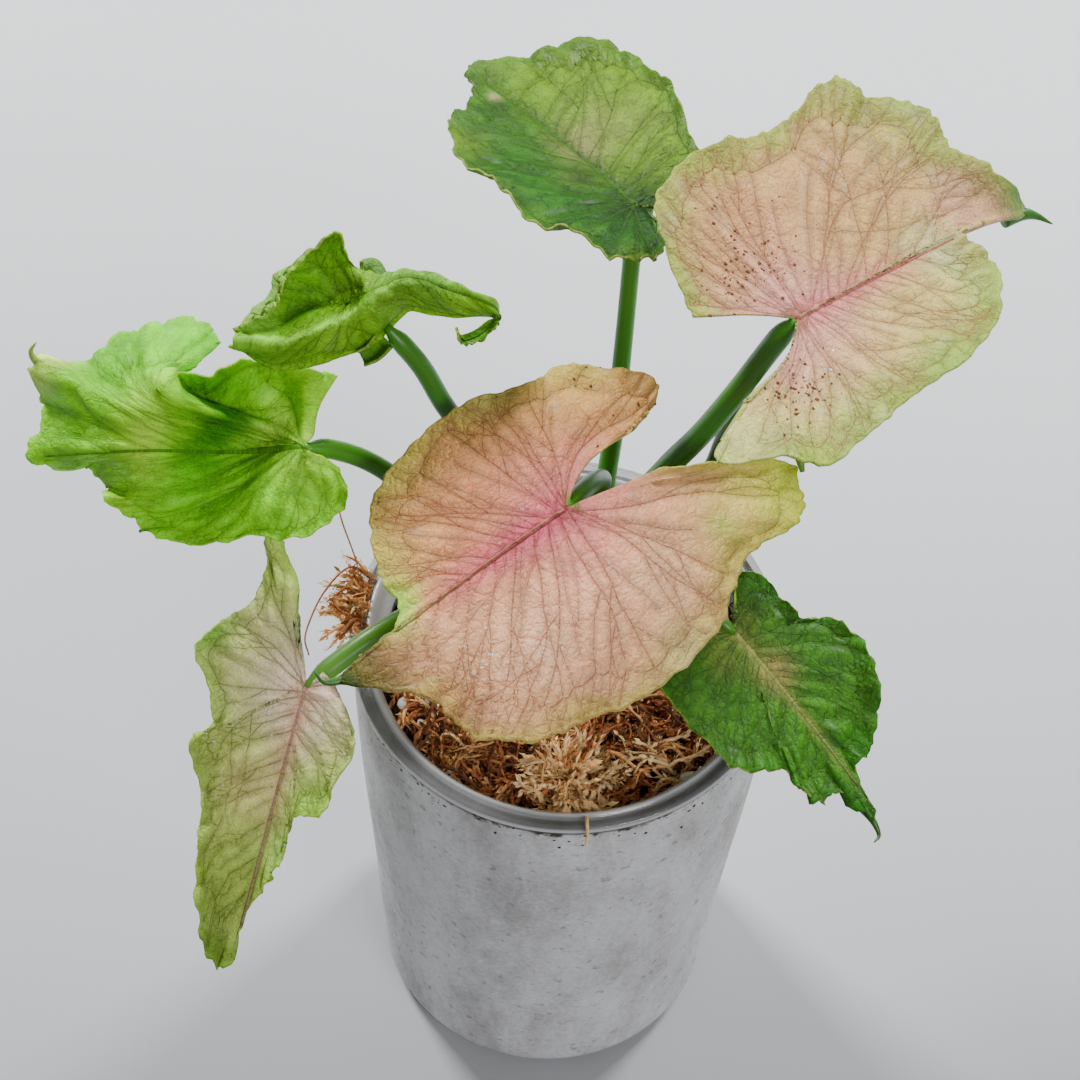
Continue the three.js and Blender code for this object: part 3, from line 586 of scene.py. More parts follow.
# %% The leaves' washes
WASHES = {
    "leaf_top": {
        "paint": vivid, "depth": 0.58, "mottling": 2,
        # The left half is painted darker and the right half paler: painted shade on the left half, which is
        # turned down away from the light.
        "body": (96, 146, 28), "right": (156, 188, 64), "left": (74, 130, 12),
        "rim": ((128, 172, 62), 3.5, 0.7), "midrib": ((70, 108, 34), 1.4, 0.55, 0.8),
        "junction": ((44, 82, 10), 8, 0.9), "vein": (48, 88, 28), "vein_share": 0.7,
        "keel": (64, 104, 34),
        "spots": [
            (0.66, 0.42, 9, (186, 194, 124), 0.85), (0.60, 0.32, 5, (190, 186, 138), 0.8),
            (0.75, 0.45, 8, (164, 190, 96), 0.6), (0.45, 0.34, 4, (128, 140, 70), 0.6),
            (0.1, 0.3, 8, (56, 92, 22), 0.8), (0.5, 0.3, 4, (72, 104, 34), 0.7),
            (0.565, 0.835, 1.7, (226, 214, 176), 0.95), (0.55, 0.8, 3.4, (52, 74, 24), 0.6),
            (0.5, 0.75, 12, (90, 128, 44), 0.7), (0.45, 0.97, 6, (158, 190, 46), 0.8),
            (0.2, 0.7, 7, (54, 112, 8), 0.85), (0.57, 0.95, 6, (86, 118, 52), 0.7),
            (0.13, 0.9, 4, (150, 184, 90), 0.7), (0.32, 0.95, 5, (70, 120, 14), 0.6),
            (0.95, 0.6, 6, (50, 100, 6), 0.85), (0.06, 0.7, 6, (50, 100, 6), 0.85),
        ],
    },
    "leaf_right": {
        "paint": rosy, "depth": 1.2,
        "body": (196, 164, 116), "right": (204, 184, 124), "left": (190, 160, 108),
        "rim": ((146, 168, 64), 5.5, 0.85), "midrib": ((198, 126, 128), 3.4, 0.8, 0.8),
        "junction": ((222, 168, 164), 13, 0.85), "vein": (112, 60, 50), "vein_share": 0.52,
        "keel": (186, 106, 112),
        "collar": ((84, 140, 40), 9),
        "spots": [
            (0.33, 0.95, 13, (156, 160, 86), 0.75), (0.1, 0.95, 8, (170, 170, 100), 0.7),
            (0.42, 0.9, 9, (150, 164, 84), 0.7), (0.5, 0.75, 10, (204, 160, 142), 0.7),
            (0.48, 0.88, 5, (150, 134, 92), 0.7), (0.5, 1.0, 7, (74, 112, 50), 0.95),
            (0.7, 0.93, 9, (176, 196, 106), 0.85), (0.76, 0.95, 8, (150, 180, 86), 0.8),
            (0.62, 0.8, 6, (186, 208, 150), 0.8), (0.83, 0.9, 9, (172, 188, 104), 0.8),
            (0.92, 0.85, 11, (196, 198, 138), 0.8), (0.16, 0.55, 13, (188, 142, 112), 0.5),
            (0.9, 0.35, 6, (196, 160, 130), 0.6), (0.3, 0.6, 12, (190, 150, 116), 0.4),
            (0.88, 0.98, 5, (160, 186, 60), 0.8),
        ],
    },
    "leaf_centre": {
        "paint": rosy, "depth": 1.5,
        "body": (198, 160, 118), "right": (194, 150, 106), "left": (206, 164, 130),
        "rim": ((160, 154, 66), 4.0, 0.7), "midrib": ((192, 98, 120), 4.4, 0.85, 0.85),
        "junction": ((206, 128, 136), 13, 0.75), "vein": (104, 52, 44), "vein_share": 0.54,
        "keel": (172, 80, 96),
        "collar": ((84, 146, 44), 9),
        "spots": [
            (0.125, 1.0, 17, (196, 206, 84), 0.95), (0.87, 1.0, 11, (196, 190, 100), 0.9),
            (0.8, 1.0, 7, (186, 190, 116), 0.7), (0.72, 1.0, 9, (172, 164, 86), 0.8),
            (0.93, 0.85, 12, (186, 148, 96), 0.75), (0.65, 0.97, 8, (168, 160, 82), 0.7),
            (0.55, 0.92, 10, (112, 84, 44), 0.8), (0.53, 1.0, 11, (44, 60, 16), 1.0),
            (0.47, 0.97, 9, (128, 98, 56), 0.7), (0.6, 0.99, 5, (170, 222, 84), 1.0),
            (0.83, 0.7, 12, (182, 138, 88), 0.6), (0.6, 0.5, 8, (174, 116, 92), 0.5),
            (0.27, 0.6, 9, (224, 190, 158), 0.6), (0.36, 0.35, 7, (214, 170, 146), 0.5),
            (0.3, 0.98, 8, (190, 180, 126), 0.75), (0.22, 0.98, 8, (176, 164, 88), 0.8),
            (0.4, 0.6, 10, (206, 170, 144), 0.6), (0.7, 0.5, 12, (178, 126, 92), 0.5),
            (0.38, 0.97, 6, (180, 156, 98), 0.7), (0.19, 0.72, 3, (186, 190, 110), 0.8),
        ],
    },
    "leaf_lower_left": {
        "paint": rosy, "depth": 2.1,
        "body": (160, 168, 100), "right": (164, 172, 104), "left": (158, 168, 100),
        "rim": ((140, 172, 74), 3, 0.7), "midrib": ((190, 160, 140), 3.2, 0.8, 0.5),
        "junction": ((224, 204, 190), 11, 0.95), "vein": (112, 116, 56), "vein_share": 0.6,
        "keel": (206, 168, 152),
        "spots": [
            (0.48, 0.8, 12, (126, 148, 62), 0.7), (0.45, 0.97, 9, (96, 122, 40), 0.85),
            (0.88, 0.95, 8, (150, 172, 84), 0.7), (0.84, 0.8, 6, (182, 182, 130), 0.6),
            (0.62, 0.85, 7, (136, 156, 70), 0.6), (0.15, 0.85, 6, (164, 172, 106), 0.7),
            (0.22, 0.9, 6, (150, 188, 76), 0.7), (0.52, 0.5, 6, (188, 172, 128), 0.6),
            (0.3, 0.95, 4, (150, 190, 100), 0.7), (0.78, 0.98, 4, (110, 156, 60), 0.8),
        ],
    },
    "leaf_lower_right": {
        "paint": vivid, "depth": 1.12, "mottling": 2,
        "body": (80, 122, 34), "right": (78, 118, 34), "left": (80, 124, 34),
        "rim": ((84, 134, 40), 2.5, 0.6), "midrib": ((152, 156, 98), 1.3, 0.8, 0.85),
        "junction": ((118, 126, 66), 6, 0.7), "vein": (44, 82, 20), "vein_share": 0.6,
        "keel": (166, 170, 116),
        "spots": [
            (0.42, 0.3, 4.5, (176, 160, 116), 0.85), (0.8, 0.3, 4, (130, 134, 80), 0.6),
            (0.35, 0.8, 8, (92, 134, 46), 0.7), (0.12, 0.6, 6, (44, 88, 6), 0.8),
            (0.8, 0.8, 9, (92, 130, 56), 0.6), (0.4, 0.95, 6, (58, 112, 8), 0.8),
            (0.5, 1.0, 8, (42, 90, 4), 0.85), (0.72, 0.5, 7, (70, 112, 24), 0.6),
            (0.2, 0.8, 6, (100, 140, 70), 0.6), (0.65, 0.95, 6, (84, 132, 40), 0.6),
        ],
    },
    "leaf_left": {
        "paint": vivid, "depth": 2.45, "mottling": 2,
        "body": (126, 164, 40), "right": (132, 168, 48), "left": (116, 158, 28),
        "rim": ((128, 172, 48), 2, 0.5), "midrib": ((96, 148, 20), 2.5, 0.4, 0.9),
        "junction": ((150, 178, 84), 7, 0.75), "vein": (58, 104, 10), "vein_share": 0.4,
        "keel": (92, 140, 20),
        "spots": [
            # Painted shade: the dark spots near the far margin, from 0.5 to 0.84 round it.
            (0.62, 0.92, 14, (84, 132, 20), 0.85), (0.5, 0.92, 11, (96, 140, 28), 0.8),
            (0.74, 0.92, 12, (82, 134, 16), 0.85), (0.84, 0.9, 9, (84, 132, 22), 0.7),
            (0.3, 0.8, 8, (124, 172, 34), 0.6), (0.1, 0.8, 6, (140, 178, 66), 0.6),
            (0.56, 0.8, 4.5, (118, 160, 30), 0.75), (0.68, 0.84, 4.5, (108, 154, 20), 0.75),
            (0.77, 0.95, 4, (106, 152, 18), 0.6), (0.36, 0.9, 8, (148, 184, 58), 0.8),
            # Painted highlight: pale spots along the crest of the fold.
            (0.45, 0.66, 4, (178, 204, 96), 0.85), (0.53, 0.665, 4, (174, 200, 92), 0.85),
            (0.61, 0.67, 4, (150, 182, 70), 0.8), (0.4, 0.62, 3.5, (140, 174, 60), 0.7),
            # Painted shade: dark spots on the fold's shadow side, beside the crest.
            (0.45, 0.48, 5, (56, 104, 4), 0.85), (0.53, 0.46, 5.5, (50, 96, 2), 0.9),
            (0.62, 0.44, 6, (48, 94, 2), 0.9), (0.7, 0.42, 5, (50, 98, 2), 0.85),
            (0.56, 1.0, 5, (170, 182, 112), 0.9), (0.8, 0.25, 5, (170, 188, 108), 0.7),
            (0.96, 0.8, 6, (130, 164, 50), 0.6), (0.36, 0.5, 8, (96, 150, 10), 0.7),
        ],
    },
    "leaf_upper_left": {
        "paint": vivid, "depth": 1.9, "mottling": 2,
        "body": (118, 156, 48), "right": (104, 142, 36), "left": (124, 160, 56),
        "rim": ((146, 184, 66), 2.2, 0.6), "midrib": ((100, 140, 34), 1.6, 0.3, 0.9),
        "junction": ((110, 150, 44), 5, 0.5), "vein": (62, 100, 24), "vein_share": 0.6,
        "keel": (96, 134, 30),
        "spots": [
            (0.2, 0.68, 8, (88, 126, 14), 0.85), (0.3, 0.8, 7, (124, 164, 44), 0.7),
            (0.35, 0.6, 7, (92, 112, 30), 0.8), (0.25, 0.3, 8, (140, 176, 62), 0.75),
            (0.05, 0.9, 7, (140, 172, 82), 0.8), (0.5, 0.35, 7, (108, 136, 62), 0.7),
            (0.66, 0.3, 7, (142, 182, 62), 0.8), (0.6, 0.6, 6, (92, 124, 54), 0.7),
            (0.9, 0.5, 6, (70, 112, 36), 0.8), (0.28, 0.97, 4, (84, 130, 34), 0.7),
            (0.15, 0.3, 7, (104, 138, 44), 0.6),
        ],
    },
}


def mix_paints(wash):
    """Turns the eyedropper numbers of a wash into paints."""
    mix = wash["paint"]
    for part in ("body", "right", "left", "vein", "keel"):
        wash[part] = mix(*wash[part])
    for part in ("rim", "midrib", "junction", "collar"):
        if part in wash:
            colour, *rest = wash[part]
            wash[part] = (mix(*colour), *rest)
    wash["spots"] = [(*place, mix(*colour), strength) for *place, colour, strength in wash["spots"]]


for wash in WASHES.values():
    mix_paints(wash)
print("washes", sum(len(wash["spots"]) for wash in WASHES.values()), "spots")

# %% [markdown]
# The blade formula is the same as in the CAD source, so the fine blade lies where the solid is. s runs
# round the margin and t outwards, both from 0 to 1. Three things are added to it: the margin is frayed
# by a few hundredths of the blade's width, the rim crinkles by about a millimetre, and later the blade
# is lifted between its veins.

# %% Blade formula
SINUS_LENGTH = 21
SINUS_REACH = 8
LIFT_POWER = 6
FRAY = 0.028
FRAY_WAVES = ((17, 0.3), (31, 1.9), (53, 4.1), (83, 2.6))
CRINKLE_WAVES = ((13, 0.7), (24, 2.2), (37, 5.1))
CRINKLE_POWER = 6
# How far apart the places are, as a share, whose difference gives the blade's slope.
SLOPE_REACH = 0.003
PINK_LEAVES = ("leaf_right", "leaf_centre")
for name, leaf in LEAVES.items():
    leaf["slot"] = "leaf_pink" if name in PINK_LEAVES else "leaf_green"
    # How much the margin crinkles and how much the blade swells between its main veins, in mm.
    leaf["crinkle"] = 0.8 if name in PINK_LEAVES else 1.3
    leaf["swelling"] = 0.5 if name in PINK_LEAVES else 1.1


def leaf_axes(leaf):
    """The leaf's along, left and up directions, one a row."""
    heading, pitch, bank = (math.radians(leaf[name]) for name in ("heading", "pitch", "bank"))
    level_share = math.cos(pitch)
    along = Vector((math.cos(heading) * level_share, math.sin(heading) * level_share, math.sin(pitch)))
    level = Vector((-math.sin(heading), math.cos(heading), 0))
    left = Matrix.Rotation(bank, 3, along) @ level
    return np.array([along, left, along.cross(left)])


def blade_points(leaf, s, t):
    """Points of the blade in the leaf's own frame, in mm."""
    count, height = leaf["ruffles"]
    fray = sum(1 + np.sin(2 * np.pi * waves * s + phase) for waves, phase in FRAY_WAVES) / 6
    t = t * (1 - FRAY * fray * t**8)
    ruffle = height * t**4 * np.sin(2 * np.pi * count * s)
    crinkle = sum(np.sin(2 * np.pi * waves * s + phase) for waves, phase in CRINKLE_WAVES) / 3
    ruffle = ruffle + leaf["crinkle"] * t**CRINKLE_POWER * crinkle
    if "columns" in leaf:
        start = [] if "petiole_end" in leaf else [(0, 0, 0)]
        runs = np.stack([catmull(start + column, t) for column in leaf["columns"]])
        points = catmull(runs, s)
    else:
        edge = catmull([(*point, 0)[:3] for point in leaf["outline"]], s)
        along, left = edge[:, 0] * t, edge[:, 1] * t
        droop = np.where(along > 0, 1, 0.6) * leaf["sag"] * along**2 / 100
        rise = leaf["fold"] * np.abs(left) - leaf["arch"] * left**2 / 100
        left_bow, right_bow = leaf.get("sinus", (0, 0))
        bow = np.where(left > 0, left_bow, -right_bow) * np.exp(-np.abs(left) / SINUS_REACH)
        bow = bow * np.sin(np.pi * np.clip(-along / SINUS_LENGTH, 0, 1))
        points = np.stack([along, left + bow, rise - droop + edge[:, 2] * t**LIFT_POWER], axis=1)
    points[:, 2] += ruffle
    return points


def blade_surface(leaf, s, t):
    """Places in metres and upward normals of the blade's upper face."""
    s, t = np.asarray(s, float), np.asarray(t, float)
    inner = np.maximum(t, 0.05)
    after, before = np.minimum(s + SLOPE_REACH, 1), np.maximum(s - SLOPE_REACH, 0)
    round_it = blade_points(leaf, after, inner) - blade_points(leaf, before, inner)
    further, nearer = np.minimum(inner + SLOPE_REACH, 1), inner - SLOPE_REACH
    outwards = blade_points(leaf, s, further) - blade_points(leaf, s, nearer)
    axes = leaf_axes(leaf)
    places = (np.array(leaf["junction"]) + blade_points(leaf, s, t) @ axes) * MM
    return places, unit(np.cross(round_it, outwards)) @ axes

# %% [markdown]
# Veins are laid out on the flat leaf, where x runs down the midrib and y to the left, and are then
# carried to the blade. A table of the direction and reach of the margin does this for the flat leaves.
# For the crumpled ones the same table is made from lengths measured along their columns.

# %% The flat leaf
TABLE_COLUMNS = 161
TABLE_ROWS = 41
LOBE_ANGLE = math.radians(150)


def lengths_along(points, axis):
    """Distances walked along one axis of a table of points, from 0."""
    steps = np.linalg.norm(np.diff(points, axis=axis), axis=-1)
    pad = [(0, 0), (0, 0)]
    pad[axis] = (1, 0)
    return np.pad(np.cumsum(steps, axis=axis), pad)


def flatten(leaf):
    """Adds to a leaf what finds a place on its blade from a place on the flat leaf."""
    s = np.linspace(0, 1, TABLE_COLUMNS)
    t = np.linspace(0, 1, TABLE_ROWS)
    s_table, t_table = (table.ravel() for table in np.meshgrid(s, t, indexing="ij"))
    points = blade_points(leaf, s_table, t_table).reshape(TABLE_COLUMNS, TABLE_ROWS, 3)
    leaf["s"], leaf["t"] = s, t
    if "petiole_end" in leaf:
        across = lengths_along(points, 1)
        leaf["across"] = across - across[:, TABLE_ROWS // 2, None]
        run = lengths_along(points, 0)[:, TABLE_ROWS // 2]
        leaf["run"] = run - run[int(TABLE_COLUMNS * 0.3)]
        leaf["length"] = leaf["run"][-1]
    elif "columns" in leaf:
        leaf["turn"] = np.interp(s, (0, leaf["tip_at"], 1), (LOBE_ANGLE, 0, -LOBE_ANGLE))
        leaf["reach"] = lengths_along(points, 1)
        leaf["length"] = np.interp(0, -leaf["turn"], leaf["reach"][:, -1])
    else:
        edge = catmull([point[:2] for point in leaf["outline"]], s)
        leaf["turn"] = np.unwrap(np.arctan2(edge[:, 1], edge[:, 0]))
        if leaf["turn"][0] < 0:
            leaf["turn"] += 2 * np.pi
        leaf["reach"] = np.outer(np.hypot(edge[:, 0], edge[:, 1]), t)
        leaf["length"] = np.interp(0, -leaf["turn"], leaf["reach"][:, -1])


def locate(leaf, x, y):
    """The (s, t) of a place on the flat leaf."""
    if "run" in leaf:
        s = np.interp(x, leaf["run"], leaf["s"])
        row = leaf["across"][round(s * (TABLE_COLUMNS - 1))]
        return s, np.interp(y, row, leaf["t"])
    turn = math.atan2(y, x)
    if turn < leaf["turn"][-1]:
        turn += 2 * math.pi
    s = np.interp(-turn, -leaf["turn"], leaf["s"])
    row = leaf["reach"][round(s * (TABLE_COLUMNS - 1))]
    return s, np.interp(math.hypot(x, y), row, leaf["t"])


def flat_places(leaf, s, t):
    """The places on the flat leaf of a grid of blade points: s and t are one-dimensional."""
    table = leaf["across"] if "run" in leaf else leaf["reach"]
    columns = [table[round(value * (TABLE_COLUMNS - 1))] for value in s]
    lengths = np.array([np.interp(t, leaf["t"], column) for column in columns])
    if "run" in leaf:
        x = np.repeat(np.interp(s, leaf["s"], leaf["run"])[:, None], len(t), axis=1)
        return np.stack([x, lengths, 0 * x], axis=-1)
    turn = np.interp(s, leaf["s"], leaf["turn"])[:, None]
    return np.stack([lengths * np.cos(turn), lengths * np.sin(turn), 0 * lengths], axis=-1)


for leaf in LEAVES.values():
    flatten(leaf)
print("blade lengths in mm:", {name: round(float(leaf["length"])) for name, leaf in LEAVES.items()})

# %% [markdown]
# An arrowhead plant's leaf has a strong midrib. Side veins leave it at a slant and curve towards the
# tip, and a fan of veins serves each basal lobe. Near the margin they all join a collecting vein that
# runs round the leaf in short scallops, with fine twigs outside it. Thin veins run between the main
# ones. Each vein is walked in small steps until it is near the margin, with a little wobble.

# %% Where the veins run
VEIN_STEP = 1.2
VEIN_WOBBLE = 0.07
COLLECTING_SHARE = 0.86
SCALLOP_BULGE = 0.02
# Widths in mm where a vein starts and where it ends.
MIDRIB_WIDTHS = (1.5, 0.4)
SIDE_WIDTHS = (0.6, 0.34)
FORK_WIDTHS = (0.34, 0.2)
COLLECTING_WIDTHS = (0.36, 0.34)
THIN_WIDTHS = (0.26, 0.12)
SIDE_VEINS = [
    # share of the midrib where it starts, angle to the midrib, turn in radians a mm
    (0.02, 150, 0.0), (0.0, 128, -0.004), (0.0, 106, -0.006), (0.02, 88, -0.008), (0.04, 72, -0.008),
    (0.1, 62, -0.008), (0.18, 57, -0.008), (0.28, 53, -0.008), (0.4, 50, -0.008), (0.53, 47, -0.008),
    (0.68, 44, -0.008), (0.82, 40, -0.008),
]


def margin_share(leaf, t):
    """How near the margin a place is: 0 at the junction or midrib, 1 at the margin."""
    return abs(2 * t - 1) if "run" in leaf else t


def walk_vein(leaf, dice, x, y, angle, turn, end, longest=90):
    """A vein as rows of x, y, s, t."""
    rows = []
    for _ in range(int(longest / VEIN_STEP)):
        s, t = locate(leaf, x, y)
        # A vein stops where it would leave the blade through the sinus.
        if rows and (s in (0, 1) or abs(s - rows[-1][2]) > 0.2 and t > 0.2):
            break
        rows.append((x, y, s, t))
        if margin_share(leaf, t) > end:
            break
        angle += turn * VEIN_STEP + dice.gauss(0, VEIN_WOBBLE)
        x += VEIN_STEP * math.cos(angle)
        y += VEIN_STEP * math.sin(angle)
    return np.array(rows)


def collecting_veins(leaf, dice, ends):
    """Scallops that join the ends of the side veins, and the twigs outside them."""
    veins = []
    ends = sorted(ends, key=lambda place: place[0])
    for (s, t), (next_s, next_t) in zip(ends, ends[1:]):
        outwards = -0.5 if "run" in leaf and t < 0.5 else 1
        walk = np.linspace(0, 1, 9)
        bulge = SCALLOP_BULGE * np.sin(np.pi * walk) * outwards
        scallop = np.stack([s + (next_s - s) * walk, t + (next_t - t) * walk + bulge], axis=1)
        veins.append((scallop, *COLLECTING_WIDTHS))
        for root in (scallop[0], scallop[4]):
            tip = root[1] + (0.97 - margin_share(leaf, root[1])) * outwards
            twig_s = np.linspace(root[0], root[0] + dice.uniform(-0.012, 0.012), 6)
            twig_t = np.linspace(root[1], np.clip(tip, 0.02, 0.98), 6)
            veins.append((np.stack([twig_s, twig_t], axis=1), *THIN_WIDTHS))
    return veins


def lay_veins(leaf, dice):
    """All veins of a leaf: (rows of s and t, width at the start, width at the end) in mm."""
    length = leaf["length"]
    midrib = walk_vein(leaf, dice, 0.1, 0, 0, 0, 2, length)
    on_axis = np.array([locate(leaf, x, 0) for x in midrib[:, 0]])
    veins = [(on_axis, *MIDRIB_WIDTHS)]
    for side in (1, -1):
        ends = []
        for share, degrees, turn in SIDE_VEINS:
            start = share * length + dice.uniform(-0.6, 0.6) * (share > 0)
            angle = math.radians(degrees + dice.uniform(-4, 4))
            end = COLLECTING_SHARE + dice.uniform(-0.06, 0.03)
            main = walk_vein(leaf, dice, start, 0.05 * side, side * angle, side * turn, end)
            if len(main) < 5 or margin_share(leaf, main[-1, 3]) < 0.7:
                continue
            veins.append((main[:, 2:], *SIDE_WIDTHS))
            ends.append(main[-1, 2:])
            for fork_share in (0.45, 0.7):
                # A fork on one flank, thinner than its parent.
                fork = main[int(len(main) * (fork_share + dice.uniform(-0.08, 0.08)))]
                swing = dice.choice((-0.5, 0.5))
                direction = math.atan2(main[-1, 1] - fork[1], main[-1, 0] - fork[0]) + swing
                twig = walk_vein(leaf, dice, fork[0], fork[1], direction, -swing * 0.03, end - 0.04, 22)
                veins.append((twig[:, 2:], *FORK_WIDTHS))
                if margin_share(leaf, twig[-1, 3]) > 0.75:
                    ends.append(twig[-1, 2:])
            between = walk_vein(
                leaf, dice, start + 0.05 * length, 0.05 * side, side * (angle - 0.1), side * turn,
                dice.uniform(0.5, 0.8))
            veins.append((between[:, 2:], *THIN_WIDTHS))
        veins += collecting_veins(leaf, dice, ends)
    return [vein for vein in veins if len(vein[0]) > 3]


VEINS = {}
for number, (name, leaf) in enumerate(LEAVES.items()):
    VEINS[name] = lay_veins(leaf, random.Random(40 + number))
print("veins", {name: len(veins) for name, veins in VEINS.items()})

# %% [markdown]
# Painting. Every vertex of a blade gets a wash from the leaf's own palette, laid in this order: the two
# halves, the rim, the spots, the junction, the green collar round it on the pink leaves, and the midrib.
# The edges of the washes wander, so that no band is even, and soft mottling comes last. Colour that
# changes over several millimetres sits well on vertices. The fine grain of the leaf comes later, from
# the material's nodes.

# %% Painting a blade
RIPPLE_WAVES = 5
PATCH_SIZE = 9
FLECK_SIZE = 3.2
COLLAR_WIDTH = 1.8
COLLAR_MIDDLE = 2.4


def ripples(places, size, seed):
    """A soft pattern between about -1 and 1, with patches about size mm wide."""
    dice = random.Random(seed)
    total = 0
    for _ in range(RIPPLE_WAVES):
        angle, phase = dice.uniform(0, math.pi), dice.uniform(0, 2 * math.pi)
        wave = dice.uniform(0.8, 1.9) * size
        along = places[..., 0] * math.cos(angle) + places[..., 1] * math.sin(angle)
        total = total + np.sin(2 * np.pi * along / wave + phase)
    return total / RIPPLE_WAVES * 1.6


def blend_in(colours, colour, share):
    return colours + (colour - colours) * np.clip(share, 0, 1)[..., None]


def place_spots(leaf, wash):
    """Turns the shares that place a wash's spots into points in the leaf's frame."""
    wash["spots"] = [
        (blade_points(leaf, np.array([s]), np.array([t]))[0], size, colour, strength)
        for s, t, size, colour, strength in wash["spots"]]


for name, leaf in LEAVES.items():
    place_spots(leaf, WASHES[name])


def paint_collar(colours, wash, from_junction, rim_distance):
    """The green of the petiole, which runs on round the junction and a little way along the sinus."""
    colour, size = wash["collar"]
    near = np.exp(-((from_junction / size) ** 2))
    at_edge = 1 / (1 + np.exp((rim_distance - COLLAR_WIDTH) / 0.4))
    at_middle = np.exp(-((from_junction / COLLAR_MIDDLE) ** 4))
    return blend_in(colours, colour, np.maximum(near * at_edge, at_middle))


def paint(leaf, wash, points, flat, rim_distance):
    """Linear colours for points in the leaf's frame, with their places on the flat leaf, in mm."""
    patches = ripples(flat, PATCH_SIZE, 3)
    flecks = ripples(flat, FLECK_SIZE, 8)
    colours = np.broadcast_to(wash["body"], points.shape).copy()
    half = 1 / (1 + np.exp(-(flat[..., 1] + 1.5 * patches) / 2.5))
    colours = blend_in(colours, wash["left"], half)
    colours = blend_in(colours, wash["right"], 1 - half)
    colour, width, strength = wash["rim"]
    wander = width * (1 + 0.45 * patches + 0.25 * flecks)
    colours = blend_in(colours, colour, strength / (1 + np.exp((rim_distance - wander) / (0.28 * width))))
    for centre, size, colour, strength in wash["spots"]:
        distance = np.linalg.norm(points - centre, axis=-1) / size + 0.16 * patches
        colours = blend_in(colours, colour, strength * np.exp(-np.maximum(distance, 0) ** 2 * 1.1))
    from_junction = np.hypot(flat[..., 0], flat[..., 1])
    colour, size, strength = wash["junction"]
    distance = from_junction / size + 0.12 * patches
    colours = blend_in(colours, colour, strength * np.exp(-distance**2))
    if "collar" in wash:
        colours = paint_collar(colours, wash, from_junction, rim_distance)
    colour, width, strength, run = wash["midrib"]
    fade = np.clip(1.3 - flat[..., 0] / (run * leaf["length"]), 0, 1) * (flat[..., 0] > -1)
    colours = blend_in(colours, colour, strength * fade * np.exp(-(flat[..., 1] / width) ** 2))
    mottling = wash.get("mottling", 1) * (0.07 * patches + 0.05 * flecks)
    return colours * wash["depth"] * (1 + mottling)[..., None]


print("palettes ready for", len(WASHES), "leaves")

# %% [markdown]
# A leaf's skin is waxy: a soft sheen over a faintly grainy, uneven green or pink. The wash comes from
# the vertices. On top lie blotches a few millimetres wide, the net of the finest veins as the edges of
# Voronoi cells, and the grain of single cells, all on the flat leaf's coordinates so that they follow
# the folds. The underside is paler and duller, and the cut edge is paler still.

# %% Leaf materials
# Scale, width of the lines and strength of the coarse and the fine net.
NET_SCALES = ((0.24, 0.035, 0.5), (0.62, 0.07, 0.3))
GRAIN_HEIGHT = 1.2
NET_WOBBLE = 2.2


def leaf_material(name, roughness, tint, tint_share, coat):
    """A leaf's skin. tint_share says how much of the tint goes into the painted wash."""
    material, shader = new_material(name, roughness)
    wash, flat = painted(material)
    colour = mixed(material, tint_share, wash, tint)
    cloud = noise(material, flat, 0.16, 4, 0.65)
    shade = grey_colour(material, ranged(material, cloud, 0.3, 0.7, 0.82, 1.2))
    colour = mixed(material, 1.0, colour, shade, "MULTIPLY")
    # The net of finest veins: the edges of cells, a coarse net and a fine one, bent by a noise.
    wobble = add_node(
        material, "ShaderNodeTexNoise", [("Vector", flat), ("Scale", 0.5), ("Detail", 2)]).outputs["Color"]
    bent = add_node(
        material, "ShaderNodeVectorMath", [(0, wobble), (1, (NET_WOBBLE, NET_WOBBLE, 0)), (2, flat)],
        operation="MULTIPLY_ADD").outputs[0]
    relief = []
    for scale, width, strength in NET_SCALES:
        edge = add_node(
            material, "ShaderNodeTexVoronoi", [("Vector", bent), ("Scale", scale), ("Randomness", 1.0)],
            feature="DISTANCE_TO_EDGE").outputs["Distance"]
        colour = mixed(material, ranged(material, edge, 0.0, width, strength, 0.0), colour, wash, "MULTIPLY")
        relief.append(ranged(material, edge, 0.0, 4 * width))
    grain = noise(material, flat, 2.4, 3, 0.75)
    shade = grey_colour(material, ranged(material, grain, 0.3, 0.7, 0.74, 1.28))
    colour = mixed(material, 1.0, colour, shade, "MULTIPLY")
    link(material, colour, shader.inputs["Base Color"])
    uneven = ranged(material, grain, 0.3, 0.7, roughness - 0.08, roughness + 0.1)
    link(material, uneven, shader.inputs["Roughness"])
    # The cells swell a little between the net's lines, and the grain roughens them.
    height = calculated(material, "MULTIPLY_ADD", grain, GRAIN_HEIGHT, calculated(material, "ADD", *relief))
    link(material, bump(material, height, 0.55, 0.00026), shader.inputs["Normal"])
    shader.inputs["Coat Weight"].default_value = coat
    shader.inputs["Coat Roughness"].default_value = 0.22
    shader.inputs["Specular IOR Level"].default_value = 0.22
    return material


upper_material = leaf_material("leaf upper side", 0.48, vivid(255, 255, 255), 0.0, 0.04)
under_material = leaf_material("leaf underside", 0.6, vivid(150, 172, 120), 0.35, 0.0)
edge_material = leaf_material("leaf cut edge", 0.5, vivid(206, 214, 130), 0.45, 0.0)
BLADE_MATERIALS = [upper_material, under_material, edge_material]
vein_material = leaf_material("vein", 0.62, vivid(90, 70, 40), 0.12, 0.0)


